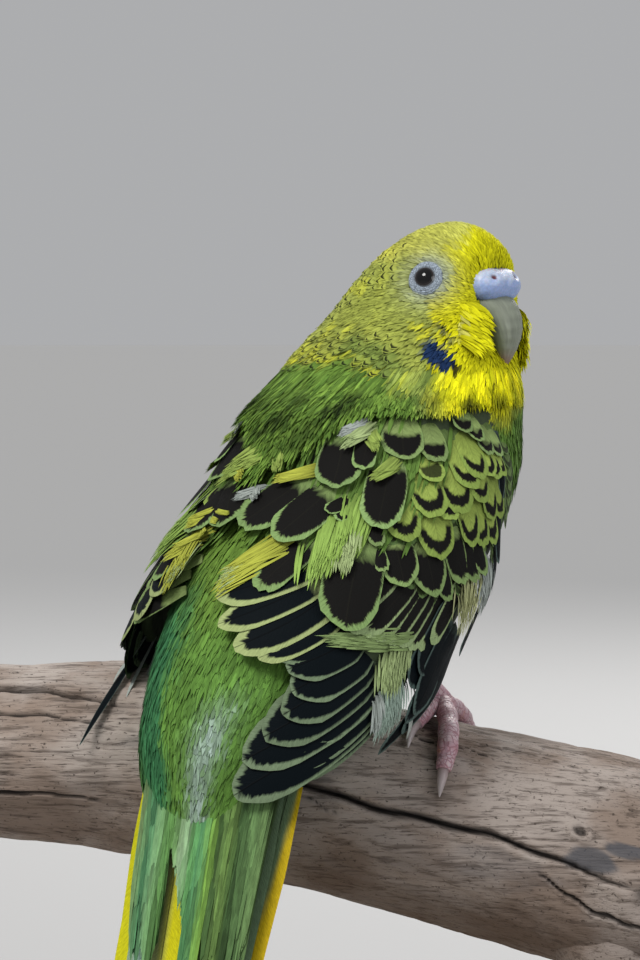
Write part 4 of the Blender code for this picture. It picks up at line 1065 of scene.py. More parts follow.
# feathers of the left wing alone
leftFeathers = {
    "soft": [(8.6, -2, 0.4, 12, 4), (7.4, 4, -1.2, 17, 3.4), (-2.6, 8, -8.2, 22, 3.4),
        (-5.6, 9, -13.4, 18, 3.2), (-3.8, 16, -5.6, -3, 1.1), (-4.8, 15, -7, 1, 1),
        (-6, 15, -9.4, 4, 1), (-9.6, 15, -14, 2, 1.3), (-11.4, 15, -16.4, 4, 1.1)],
    "lesserLow": [(2.2, 10, -3.9, 24, 4.8), (-0.8, 9, -7.6, 24, 4)],
    "medians": [(-11, 4, -17.4, 27, 3.8), (-13.6, 3, -19.6, 25, 3.6), (-16.1, -2, -22.4, 18, 3.6)],
}
wingPaints = {
    "covert": (0.24, 0.33, 0.11), "covertBright": (0.3, 0.395, 0.08), "covertEdge": (0.33, 0.41, 0.18),
    "tertialEdge": (0.3, 0.36, 0.15), "scapular": (0.27, 0.39, 0.13), "yellow": (0.4, 0.43, 0.06),
    "cream": (0.48, 0.5, 0.25), "white": (0.35, 0.39, 0.36), "mist": (0.33, 0.43, 0.36),
    "flightEdge": (0.15, 0.205, 0.12), "primaryEdge": (0.07, 0.105, 0.095), "lime": (0.27, 0.42, 0.09),
    "moss": (0.11, 0.2, 0.04), "palest": (0.34, 0.43, 0.19), "plain": (0.13, 0.2, 0.06),
    "fresh": (0.28, 0.38, 0.085), "band": (0.215, 0.3, 0.115),
}
# what single feathers do otherwise, by kind and place in its list: another mark or another paint
featherTurns = {
    "scapularsLow": {1: (0.1, 0.1, 0, 1), 2: (0.1, 0.1, 0, 1)},
    "medians": {0: (0.16, 0.3, 0, 1)},
    "lesserHigh": {0: (0.24, 0.4, 0, 0.9)},
    "shoulder": {0: (0.2, 0.42, 0, 1), 1: (0.2, 0.52, 0, 1), 2: (0.16, 0.55, 0, 1)},
    "soft": {2: "palest", 3: "palest", 4: "white", 5: "fresh", 6: "lime", 7: "palest", 8: "lime",
        9: "fresh", 10: "white", 11: "fresh", 12: "fresh", 13: "fresh"},
    "alula": {0: "white"},
}
# loose soft feathers between the big ones: root height and angle, tip height and angle, how many,
# their spread in degrees and millimetres, lift at root and tip, width, length's share, paint
wingTufts = [
    (9, 34, -10, 34, 400, 28, 7, (-1.2, 0.5), 0.7, 0.45, "moss"),
    (-0.5, 36, -14.5, 40, 160, 5, 2, (0, 1.4), 0.5, 0.6, "lime"),
    (-23.4, 80, -33, 82, 260, 6, 1.6, (-1.2, 0.7), 0.5, 0.6, "palest"),
    (-24, 92, -23.6, 44, 260, 2, 1.3, (-0.3, 0.95), 0.42, 0.36, "band"),
    (-29, 84, -40, 93, 260, 6.5, 1.8, (-1.8, 0.2), 0.5, 0.6, "mist"),
    (-32.5, 78, -39.5, 85, 60, 2.2, 0.8, (-1.2, 0.6), 0.5, 0.7, "white"),
]
bigWeb = {"fray": 0.014, "arch": 0.1, "thick": 0.16, "barbSlope": 1.2, "columns": 13, "rows": 10}
wingSkin = {"depth": (0.9, 2.7), "colour": (0.05, 0.075, 0.03), "rows": 26, "columns": 30}


def looser(z, angle):
    # the left wing is held further from the back, and hangs lower at its end
    return 13.0 + 0.88 * angle + 20.0 * np.clip((-8.0 - z) / 20.0, 0.0, 1.0)


def onSide(z, angle, side):
    # an angle in degrees on a wing as the radians that wingPoint takes, the left wing's set looser
    return np.radians(looser(z, angle) if side < 0 else angle) * side


def flare(z, angle):
    # how far the wing's front edge stands off, most at the bend's lower end
    return 2.2 * ramp(np.degrees(angle), 92, 112) * ramp(z, -5, -16) * ramp(z, -44, -28)


def onWing(z, angle, rise, side):
    # shafts over the wing's outline, which rise by what is given and by the front edge's flare
    angle = onSide(z, angle, side)
    out = normalOf(wingPoint, z, angle)
    rise = rise + flare(z, angle * side)
    return frameShafts(wingPoint(z, angle) + out * rise[..., None], out)


def wingShafts(rows, lift, sweep, side, steps):
    # each shaft runs evenly over the wing from root to tip, bowed sideways by a half sine
    t = np.linspace(0, 1, steps)
    z = rows[:, :1] + (rows[:, 2:3] - rows[:, :1]) * t
    angle = rows[:, 1:2] + (rows[:, 3:4] - rows[:, 1:2]) * t + sweep * np.sin(np.pi * t)
    return onWing(z, angle, lift[:, :1] + (lift[:, 1:] - lift[:, :1]) * t ** 0.8, side)


def brushed(rows, draw):
    # strands in place of one web, strewn over its width and a little along it
    n = len(rows)
    aside = rows[:, 4] * draw.normal(0, 0.52, n)
    long = rows[:, 0] - rows[:, 2]
    rows = rows.copy()
    rows[:, 0] -= long * draw.uniform(0, 0.5, n)
    rows[:, 1] += aside
    rows[:, 2] += long * draw.uniform(-0.08, 0.34, n)
    rows[:, 3] += 0.7 * aside
    rows[:, 4] = 0.26 + 0.06 * rows[:, 4]
    return rows


def tuftShafts(line, n, wide, tall, lift, share, side, draw):
    # strands beside one line, each over a part of its length
    z0, a0, z1, a1 = line
    t = np.linspace(0, 1, 6)
    shift = draw.normal(0, 0.5, n)
    begin = draw.uniform(0, 1 - share, n)[:, None] + share * t
    z = z0 + (z1 - z0) * begin + draw.normal(0, 0.4 * tall, (n, 1))
    angle = a0 + (a1 - a0) * begin + wide * shift[:, None] + draw.normal(0, 1.2, (n, 1)) * t
    rise = lift[0] + (lift[1] * draw.uniform(0.5, 1.1, (n, 1)) - lift[0]) * t ** 0.6
    return onWing(z, angle, rise, side)


def lesserLattice():
    # the wing's hidden and smallest coverts, in rows down the wing, set like tiles
    rows = []
    for k, z in enumerate(np.arange(11.5, -15.0, -2.5)):
        first, last = smoothRows(wingShape["core"][:, 0], wingShape["core"][:, 1:], np.array(z))
        angle = np.arange(max(first, 34.0) + 3.2 * (k % 2), last - 2.0, 6.4)
        fall = 4.2 + 3.6 * ramp(angle, 100, 60)
        size = 2.9 + 1.9 * ramp(angle, 100, 60)
        rows.append(np.stack([z + 0 * angle, angle, z - fall, angle + 0.45 * fall, size], -1))
    return np.concatenate(rows)


def plate(top, low):
    # a closed sheet between two alike grids of points
    rows, columns = top.shape[:2]
    count = rows * columns
    points = np.concatenate([top.reshape(-1, 3), low.reshape(-1, 3)])
    faces = gridFaces(rows, columns)
    grid = np.arange(count).reshape(rows, columns)
    rim = np.concatenate([grid[0, :-1], grid[:-1, -1], grid[-1, :0:-1], grid[:0:-1, 0]])
    after = np.roll(rim, -1)
    wall = np.stack([rim, after, after + count, rim + count], -1)
    return points, np.concatenate([faces[:, ::-1], faces + count, wall])


# feathers that hang free over the branch: their line, width and paint's name
hanging = [
    ([(-28.4, -3.4, -25), (-33.6, -13.5, -32.8), (-37, -19.4, -38.1), (-39.7, -21.4, -42.8)], 1.4, None),
    ([(-28, -4, -24), (-31.2, -9.5, -28.6), (-33.4, -12.8, -31.2), (-34.4, -14.4, -33)], 0.7, "white"),
    ([(-27.6, -5.5, -26), (-30.2, -11, -31), (-31.6, -14, -33.8), (-32.2, -15.4, -35.4)], 0.7, "white"),
    ([(-27.4, -6.5, -28), (-29.6, -12.4, -34), (-30.8, -15.4, -37), (-31.2, -16.6, -38.8)], 0.7, "white"),
]


def hangingQuills(draw):
    # single thin feathers, each a smooth line through four points, facing outward and back
    sets = []
    for line, width, paint in hanging:
        middle = smoothLine(line, 12)[None]
        out = np.broadcast_to(unit(np.array((-0.45, -0.85, 0.25))), middle.shape)
        mark = np.array([(0.05, 0.0, 0.0, 0.0 if paint else 1.0)])
        tint = np.array([wingPaints[paint or "primaryEdge"]])
        web = {**bigWeb, "kind": "pointed", "round": 1.5, "columns": 7, "rows": 12, "tilt": 0.0}
        sets.append(growVanes(frameShafts(middle, out), np.array([width]), web, tint, mark,
                              np.array([(0.985, 0.985, 0.02)]), draw))
    return sets


def wingGroups(side):
    # every feather of one wing by kind, with the left wing's own, and its secondaries drawn up
    groups = {"under": lesserLattice(), **{k: np.array(v, float) for k, v in wingFeathers.items()}}
    if side < 0:
        for kind, rows in leftFeathers.items():
            groups[kind] = np.concatenate([groups[kind], np.array(rows, float)])
        rows = groups["secondaries"]
        rows[:, 0] = -17.5 + 0.4 * (rows[:, 0] + 21.4)
        rows[:, 2] = -27.0 + 0.16 * (rows[:, 2] + 25.7)
    return groups


def featherSet(kind, rows, cell, across, side, draw):
    # the webs of one kind of feather; each row of it has a cell of an atlas that has so many across,
    # numbered from cell, and a row's strands share theirs
    look = featherKinds[kind]
    strands = look.get("strands", 1)
    n = len(rows) * strands
    order = np.arange(n) // strands
    low, high, fall = look["lift"]
    lift = np.stack([low - 0.5 * fall * order, high - fall * order], -1) + draw.uniform(-0.05, 0.05, (n, 1))
    tint = np.tile(np.array(wingPaints[look["tint"]]), (n, 1))
    mark = np.tile(np.array(look["mark"], float), (n, 1))
    for k, other in featherTurns.get(kind, {}).items():
        if isinstance(other, str):
            tint[order == k] = wingPaints[other]
        else:
            mark[order == k] = other
    if strands > 1:
        rows = brushed(rows[order], draw)
    least = 0.85 if strands < 2 else 0.78  # how far down a feather's brightness may vary
    tint = tint * draw.uniform(least, 1.12, (n, 1))
    mark[:, 0] *= draw.uniform(0.85, 1.15, n)
    mark[:, 1] *= draw.uniform(0.92, 1.08, n)
    web = {**bigWeb, **look, "tilt": look["tilt"] * side}
    shafts = wingShafts(rows, lift, look.get("sweep", 0.0), side, web["rows"])
    return growVanes(shafts, rows[:, 4] * draw.uniform(0.96, 1.05, n), web, tint, mark,
                     cellsOf(cell + order, across), draw)


def makeWingSkin(name, side):
    # a thin sheet under the feathers, between two depths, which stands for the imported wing
    look, core = wingSkin, wingShape["core"]
    z = np.linspace(core[0, 0], core[-1, 0], look["rows"])
    ends = smoothRows(core[:, 0], core[:, 1:], z)
    angle = mix(ends[:, :1], ends[:, 1:], np.linspace(0, 1, look["columns"]))
    z = np.repeat(z[:, None], look["columns"], 1)
    angle = onSide(z, angle, side)
    p, n = wingPoint(z, angle), normalOf(wingPoint, z, angle)
    points, faces = plate(*(p - n * depth for depth in look["depth"]))
    material, tree, shader = newMaterial(name + "Skin", 0.85)
    fluff = noiseIn(tree, placeIn(tree), 1400.0, 3.0)
    dark = tuple(0.5 * c for c in look["colour"])
    tree.links.new(blend(tree, fluff, dark, look["colour"]), shader.inputs["Base Color"])
    addBump(tree, shader, fluff, 0.5, 0.0002)
    skin = makeMesh(name + "_skin", points, [faces[:, ::side]], material=material, slot="plumage_wing")
    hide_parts(name)


def makeWing(name, side):
    # one folded wing: its feathers by kind, the loose strands between them and the skin below
    draw = np.random.default_rng(70 + side)
    groups = wingGroups(side)
    across = math.ceil(math.sqrt(sum(len(rows) for rows in groups.values())))
    parts = {}
    cell = 0
    for kind, rows in groups.items():
        webs = featherSet(kind, rows, cell, across, side, draw)
        parts.setdefault(featherKinds[kind]["plume"], []).append(webs)
        cell += len(rows)
    for *line, count, wide, tall, lift, width, share, paint in wingTufts:
        shafts = tuftShafts(line, count, wide, tall, lift, share, side, draw)
        tint = np.array(wingPaints[paint]) * draw.uniform(0.75, 1.15, (count, 1))
        place = 0.5 + draw.uniform(-0.4, 0.4, count)
        bake = np.stack([place, place, np.full(count, tuftPatch)], -1)
        webs = growVanes(shafts, width * draw.uniform(0.8, 1.3, count), {**smallWeb, "kind": "pointed"}, tint,
                         np.zeros((count, 4)), bake, draw)
        parts["headPlume"].append(webs)
    if side < 0:
        parts["flightPlume"].extend(hangingQuills(draw))
    for plume, sets in parts.items():
        putFeathers(name + "_" + plume, sets, plume, "plumage_wing")
    makeWingSkin(name, side)


makeWing("wing_right", 1)
makeWing("wing_left", -1)
makeCape()

tailShape = {
    "root": np.array([-17.8, -32.4, -44]),
    "down": unit(np.array([-0.15, -0.15, -0.975])),
    "right": unit(np.array([math.cos(math.radians(30)), -math.sin(math.radians(30)), -0.08])),
    "lengths": (81, 74, 66, 59, 53, 47),
    "width": 7.2,
    "sideWidth": 6.4,
    # where each feather starts beside the middle and how far it spreads, to the right and to the left
    "rightPlaces": [(3.4, 3.2), (3.6, 0.6), (5.4, -0.2), (7.4, -0.9), (9.4, -1.8), (11.4, -3.2)],
    "leftPlaces": [(-3.8, -2.4), (2.7, 0), (4.6, 0.9), (5.8, 1.6), (7.2, 2), (8.6, 1.8)],
    # paints of the inner and outer web of each feather, from the middle one out
    "rightWebs": [((0.06, 0.19, 0.11), (0.08, 0.23, 0.07)), ((0.1, 0.26, 0.08), (0.15, 0.24, 0.05)),
        ((0.06, 0.11, 0.03), (0.13, 0.21, 0.06)), ((0.11, 0.19, 0.1), (0.18, 0.26, 0.09)),
        ((0.08, 0.13, 0.04), (0.17, 0.25, 0.14)), ((0.16, 0.24, 0.13), (0.56, 0.42, 0.012))],
    "leftWebs": [((0.06, 0.2, 0.11), (0.09, 0.26, 0.11)), ((0.64, 0.6, 0.008), (0.28, 0.32, 0.13)),
        ((0.22, 0.3, 0.13), (0.26, 0.4, 0.33)), ((0.18, 0.28, 0.14), (0.24, 0.34, 0.23)),
        ((0.12, 0.22, 0.09), (0.42, 0.42, 0.03)), ((0.4, 0.4, 0.04), (0.6, 0.56, 0.01))],
    # outermost short feathers: start and spread beside the middle, first and last place, out, two paints
    "sides": [(14.8, -6, 1.5, 56, -1.2, (0.15, 0.23, 0.12), (0.56, 0.4, 0.01)),
        (12.2, -4.6, 0.5, 58, -0.4, (0.07, 0.11, 0.035), (0.15, 0.23, 0.13)),
        (-10.2, 1.6, 2, 56, -1.2, (0.56, 0.54, 0.01), (0.2, 0.34, 0.2))],
    "marks": [(0.16, 0, 0, 0.5), (0.45, 0, 0, 0), (0.45, 0, 0, 0.35), (0.55, 0, 0, 0.25),
        (0.6, 0, 0, 0.2), (0.6, 0, 0, 0)],
    # strands over the tail's root and under it: how many, then from and to of their side, start and length,
    # how much shorter at the sides, out, width
    "coverts": [(1400, -9.5, 14.5, -8, 10, 22, 36, 1.3, (2.2, 3.5), 0.85),
        (260, -6, 6, -4, 8, 16, 24, 1.2, (-3.8, -2.6), 1.2)],
    # paints of the upper coverts from the bird's left to its right
    "covertPaints": [(-9.5, 0.22, 0.34, 0.14), (-7.5, 0.07, 0.2, 0.09), (-6, 0.16, 0.31, 0.14),
        (-4.4, 0.1, 0.22, 0.07), (-2.4, 0.15, 0.31, 0.1), (-0.6, 0.26, 0.4, 0.22), (1.2, 0.13, 0.32, 0.11),
        (3, 0.09, 0.25, 0.1), (5, 0.14, 0.27, 0.05), (6.4, 0.05, 0.1, 0.03), (8, 0.15, 0.26, 0.07),
        (10, 0.04, 0.08, 0.025), (11.6, 0.09, 0.17, 0.06), (14.5, 0.13, 0.22, 0.08)],
    # the upper coverts end sooner over this stretch: its two sides, and the last place at each
    "notch": (-3.6, 2, 14, 30),
}


def tailShafts(rows, side, steps):
    # straight lines down the tail, bowed out by a half sine; each row gives a line's start and spread to the
    # side, its first and last place, and how far out its root and tip lie
    t = np.linspace(0, 1, steps)
    start, spread, first, last, low, high = (rows[:, k, None] for k in range(6))
    right, down = tailShape["right"], tailShape["down"]
    out = unit(np.cross(down, right))
    across = side * (start + spread * t)
    along = first + (last - first) * t
    lift = low + (high - low) * t + 0.5 * np.sin(np.pi * t)
    middle = tailShape["root"] + right * across[..., None] + down * along[..., None] + out * lift[..., None]
    return frameShafts(middle, np.broadcast_to(out, middle.shape))


def makeTail():
    # twelve long feathers in two fans, three short outer ones, and the coverts' strands over their roots
    draw = np.random.default_rng(90)
    web = {**bigWeb, "kind": "flight", "round": 2.4, "rows": 14, "columns": 11, "fray": 0.02, "thick": 0.3}
    sets = []
    count = len(tailShape["lengths"])
    mark = np.array(tailShape["marks"])
    c = np.linspace(-1, 1, web["columns"])[:, None]
    across = 5
    for k, (side, hand) in enumerate(((1, "right"), (-1, "left"))):
        first, out = np.full(count, 3.0), 1.5 - 0.72 * np.arange(count)
        rows = np.column_stack([tailShape[hand + "Places"], first, tailShape["lengths"], out, out])
        inner, outer = np.moveaxis(np.array(tailShape[hand + "Webs"]), 1, 0)[:, :, None]
        tint = mix(inner, outer, ramp(side * c, -0.15, 0.15))
        webs = growVanes(tailShafts(rows, side, web["rows"]), np.full(count, tailShape["width"]),
                         {**web, "tilt": -0.1 * side}, tint[:, None], mark,
                         cellsOf(k * count + np.arange(count), across), draw)
        sets.append(webs)
    down = np.linspace(0, 1, web["rows"])[:, None, None]
    for k, (start, spread, first, last, out, inner, outer) in enumerate(tailShape["sides"]):
        edge = (0.5 - 0.8 * down) * np.sign(start)
        tint = mix(inner, outer, ramp(c[None], edge - 0.1, edge + 0.1))[None]
        shafts = tailShafts(np.array([(start, spread, first, last, out, out)]), 1, web["rows"])
        bake = cellsOf(np.array([2 * count + k]), across)
        sets.append(growVanes(shafts, np.full(1, tailShape["sideWidth"]), {**web, "tilt": 0.1}, tint,
                              mark[1:2], bake, draw))
    soft = []
    paints = np.array(tailShape["covertPaints"])
    for n, left, right, first, last, short, long, fall, high, width in tailShape["coverts"]:
        start = draw.uniform(left, right, n)
        along = draw.uniform(first, last, n)
        aside = np.maximum(np.maximum(-start - 2, 0), 0.6 * (start - 5))
        length = draw.uniform(short, long, n) - fall * aside
        if width < 1:
            inner, outer, near, far = tailShape["notch"]
            most = near + (far - near) * (start - inner) / (outer - inner) - along
            within = (start > inner) & (start < outer)
            length = np.where(within, np.clip(length, 4.0, np.maximum(most, 4.0)), length)
        out = draw.uniform(*high, n)
        rows = np.stack([start, -0.1 * start, along, along + length, out - 0.5, out], -1)
        shafts = tailShafts(rows, 1, 7)
        tints = smoothRows(paints[:, 0], paints[:, 1:], start) * draw.uniform(0.6, 1.3, (n, 1))
        bake = np.stack([draw.uniform(0.02, 0.98, n), draw.uniform(0.02, 0.98, n), np.full(n, tuftPatch)], -1)
        width = width * draw.uniform(0.7, 1.3, n)
        soft.append(growVanes(shafts, width, smallWeb, tints, np.zeros((n, 4)), bake, draw))
    putFeathers("tail_coverts", soft, "bodyPlume", "plumage_tail")
    tail = putFeathers("tail_feathers", sets, "tailPlume", "plumage_tail")
    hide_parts("tail")


makeTail()

eyeShape = {
    "place": (34.3, 116), "radius": 2.5, "sunk": 1.5, "pupil": 1.34, "iris": 1.66, "rings": 40,
        "around": 56,
    "behind": 9,  # the distance from the pupil given to the ball's hidden half
    "lidRings": 34, "lidAround": 160,
    "pupilColour": (0.002, 0.002, 0.002), "irisColour": (0.009, 0.007, 0.007),
        "rimColour": (0.1, 0.11, 0.12),
    "lidColour": (0.37, 0.44, 0.52), "lidDark": (0.12, 0.145, 0.18),
    # the lid's section: distance from the eye's axis, height over the skin
    "lid": [(1.6, -0.6), (1.62, -0.1), (1.74, 0.26), (1.98, 0.42), (2.25, 0.34), (2.5, 0.27), (2.76, 0.14),
        (2.98, -0.05), (3.12, -0.5), (3.12, -1.3)],
}


def eyeFrame(side):
    # the eye's place on the head, the way out of it, and two ways across
    z, angle = (np.array(v) for v in (eyeShape["place"][0], math.radians(eyeShape["place"][1] * side)))
    at, out = settle(bodyPoint(z, angle), 1)
    u = unit(np.cross(out, np.array((0, 0, 1.0))))
    return at, out, u, np.cross(u, out)


def makeEyes():
    # A ball by latitude from its own axis; round it the lid, a ring whose section is carried round the
    # axis and laid on the head's surface, with fine folds that run outward
    look = eyeShape
    eyeMaterial, tree, shader = newMaterial("eyeball", 0.1, Specular_IOR_Level=0.4)
    place = uvIn(tree, "disc")
    away = addNode(tree, "VectorMath", {0: place}, operation="LENGTH").outputs[1]
    fine = noiseIn(tree, place, 5.0, 3.0)
    away = maths(tree, "MULTIPLY_ADD", maths(tree, "SUBTRACT", fine, 0.5), 0.12, away)
    iris = blend(tree, fine, look["irisColour"], tuple(2.6 * c for c in look["irisColour"]))
    outside = span(tree, away, look["pupil"] - 0.05, look["pupil"] + 0.05)
    colour = blend(tree, outside, look["pupilColour"], iris)
    colour = blend(tree, span(tree, away, look["iris"] - 0.1, look["iris"]), colour, look["rimColour"])
    tree.links.new(colour, shader.inputs["Base Color"])
    lidMaterial, tree, shader = newMaterial("lidSkin", 0.5)
    crease = creasesIn(tree, uvIn(tree, "fold"), 0.16)
    tree.links.new(blend(tree, crease, look["lidDark"], look["lidColour"]), shader.inputs["Base Color"])
    addBump(tree, shader, crease, 0.6, 0.00012)
    for name, side in (("right", 1), ("left", -1)):
        at, out, u, v = eyeFrame(side)
        centre = at - out * look["sunk"]
        lat = np.linspace(0.01, math.pi - 0.01, look["rings"])[:, None]
        lon = fullTurn(look["around"])[None]
        x, y, h = np.sin(lat) * np.cos(lon), np.sin(lat) * np.sin(lon), np.cos(lat) + 0 * lon
        rings = centre + look["radius"] * (x[..., None] * u + y[..., None] * v + h[..., None] * out)
        disc = np.stack([x, y], -1).reshape(-1, 2) * look["radius"]
        disc = np.where(h.reshape(-1, 1) > 0, disc, look["behind"])
        disc = np.concatenate([disc, [[0, 0], [look["behind"]] * 2]])
        eye = loftMesh("eyeball_" + name, rings, {"disc": disc}, {}, eyeMaterial, "eye")
        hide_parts("eye_" + name)
        turn = fullTurn(look["lidAround"])
        section = smoothLine(look["lid"], look["lidRings"])
        away, high = section[:, :1], section[:, 1:]
        fold = 0.035 * np.sin(40 * turn + 5 * np.sin(3 * turn))
        fold = fold + 0.05 * np.sin(away * 17 + 1.2 * np.sin(2 * turn))
        fold = fold * ramp(away, 1.7, 2.1) * ramp(away, 3.1, 2.7)
        flat = at + away[..., None] * (np.cos(turn)[None, :, None] * u + np.sin(turn)[None, :, None] * v)
        ground, normal = settle(flat, 3)
        ring = ground + normal * (high + fold)[..., None]
        ring = np.where((away < 1.7)[..., None], flat + out * high[..., None], ring)
        place = np.stack(np.broadcast_arrays(turn[None] / (2 * math.pi) * 26, away * 6.5), -1).reshape(-1, 2)
        faces = [gridFaces(len(section), len(turn), True)]
        makeMesh("lid_" + name, ring.reshape(-1, 3), faces, {"fold": place}, material=lidMaterial, slot="eye")
    print("eyes made")


makeEyes()

cereShape = {
    "centre": (12.5, 0, 0), "lobeSide": 2.2, "radii": (3.4, 3.45, 3), "blendSharpness": 3.2,
        "swell": 0.06,
    "nostril": (14.75, 2.95, 1.35), "nostrilRadius": 0.78, "nostrilDepth": 1.1, "rows": 90, "around": 120,
    "blue": (0.27, 0.36, 0.62), "white": (0.47, 0.53, 0.66), "nostrilColour": (0.1, 0.015, 0.025),
    "flush": (0.36, 0.25, 0.34),
}


def makeCere():
    # Two balls blended into one: along each direction from the middle, the distance at which the soft
    # least of the two balls' fields is zero, found by halving, with a bell-shaped dent at each nostril
    look = cereShape
    lat = np.linspace(0.02, math.pi - 0.02, look["rows"])[:, None]
    lon = fullTurn(look["around"])[None]
    way = np.stack([np.cos(lat) + 0 * lon, np.sin(lat) * np.cos(lon), np.sin(lat) * np.sin(lon)], -1)
    centre, radii = np.array(look["centre"]), np.array(look["radii"])

    def field(p):
        k = look["blendSharpness"]
        lobes = ((p - centre - (0, s * look["lobeSide"], 0)) / radii for s in (1, -1))
        return -np.log(sum(np.exp(-k * np.linalg.norm(v, axis=-1)) for v in lobes)) / k - 1 + look["swell"]

    near, far = np.zeros(way.shape[:2]), np.full(way.shape[:2], 9.0)
    for _ in range(24):
        middle = (near + far) / 2
        inside = field(centre + way * middle[..., None]) < 0
        near, far = np.where(inside, middle, near), np.where(inside, far, middle)
    p = centre + way * near[..., None]
    hole = np.array(look["nostril"])
    away = ((((p - hole * (1, s, 1)) / (1.0, 1.0, 0.72)) ** 2).sum(-1) for s in (1, -1))
    dent = sum(np.exp(-v / look["nostrilRadius"] ** 2) for v in away)
    p = p - way * (look["nostrilDepth"] * dent)[..., None]
    rough = softNoise(p, 1.6, 31)
    p = p + way * (0.03 * rough)[..., None]
    high = p[..., 2]
    colour = mix(look["blue"], look["white"], ramp(high + 0.5 * rough, -0.6, 2.2)[..., None])
    colour = mix(colour, look["flush"], (0.6 * ramp(high + 0.6 * rough, 2.2, 3.0))[..., None])
    colour = mix(colour, look["nostrilColour"], ramp(dent, 0.25, 0.6)[..., None])
    material, tree, shader = newMaterial("cereSkin", 0.42, Subsurface_Weight=0.12, Subsurface_Scale=0.001)
    grainedPaint(tree, shader, noiseIn(tree, placeIn(tree), 2600.0, 3.0), 0.9, 1.06, 0.25, 0.0001)
    cere = loftMesh("cere_skin", headPoint(*np.moveaxis(p, -1, 0)), {}, {"tint": colour}, material, "cere")
    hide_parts("cere")
    print("cere made")


makeCere()

beakShape = {
    # forward and height of the outer edge, forward and height of the inner edge, half width
    "upper": np.array([
        (12.4, -0.4, 8.4, -3.6, 3.6), (15.2, -2, 9.2, -5.2, 4.3), (17, -4.6, 10.6, -6.8, 4),
        (17.6, -7.4, 12.2, -8.4, 3.3), (17.1, -10, 13.4, -10.2, 2.4), (16.1, -12.2, 14, -12, 1.4),
        (15, -13.9, 14.4, -13.8, 0.3),
    ]),
    "lower": np.array([
        (8.6, -11.4, 9.2, -6.8, 3), (11, -12.6, 10.8, -8, 3.2), (13, -12.8, 12.2, -9.6, 2.8),
        (14, -12.4, 13.4, -11, 1.4),
    ]),
    "rows": 60, "around": 48, "square": 0.86,
    "horn": (0.135, 0.155, 0.105), "pale": (0.27, 0.29, 0.24), "tip": (0.22, 0.125, 0.095),
    "lowerColour": (0.2, 0.1, 0.07),
}


def hornMaterial(name, roughness):
    # lengthwise growth lines over a horn whose paint comes from its points
    material, tree, shader = newMaterial(name, roughness, Specular_IOR_Level=0.35)
    grainedPaint(tree, shader, noiseIn(tree, uvIn(tree, "horn"), 1.0, 4.0), 0.82, 1.14, 0.25, 0.0001)
    return material


def makeBeak():
    # Each section is an oval hung between the outer and the inner edge, its sides filled out by a power
    look = beakShape
    material = hornMaterial("beakHorn", 0.5)
    for name in ("upper", "lower"):
        rows = smoothLine(look[name], look["rows"])
        share = np.linspace(0, 1, look["rows"])[:, None]
        turn = fullTurn(look["around"])[None]
        of, oz, nf, nz, half = (rows[:, k, None] for k in range(5))
        up = np.cos(turn)
        side = np.sign(np.sin(turn)) * np.abs(np.sin(turn)) ** look["square"]
        ridge = 0.05 * np.sin(share * 55) * ramp(share, 0.05, 0.3) * ramp(share, 1.0, 0.8)
        f = (of + nf) / 2 + (of - nf) / 2 * up + ridge * up
        z = (oz + nz) / 2 + (oz - nz) / 2 * up
        colour = mix(look["horn"], look["pale"], (0.55 * ramp(up + 0 * share, 0.35, 0.95))[..., None])
        inner = np.maximum(ramp(share + 0 * up, 0.66, 0.97), 0.8 * ramp(up + 0 * share, -0.2, -0.8))
        colour = mix(colour, look["tip"], inner[..., None])
        if name == "lower":
            colour = np.broadcast_to(look["lowerColour"], colour.shape)
        place = np.stack(np.broadcast_arrays(turn * 4.0, share * 3.0), -1)
        rings = headPoint(f, half * side, z)
        beak = loftMesh("beak_" + name + "_horn", rings, {"horn": place}, {"tint": colour}, material, "beak")
        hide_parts("beak_" + name)
    print("beak made")


makeBeak()

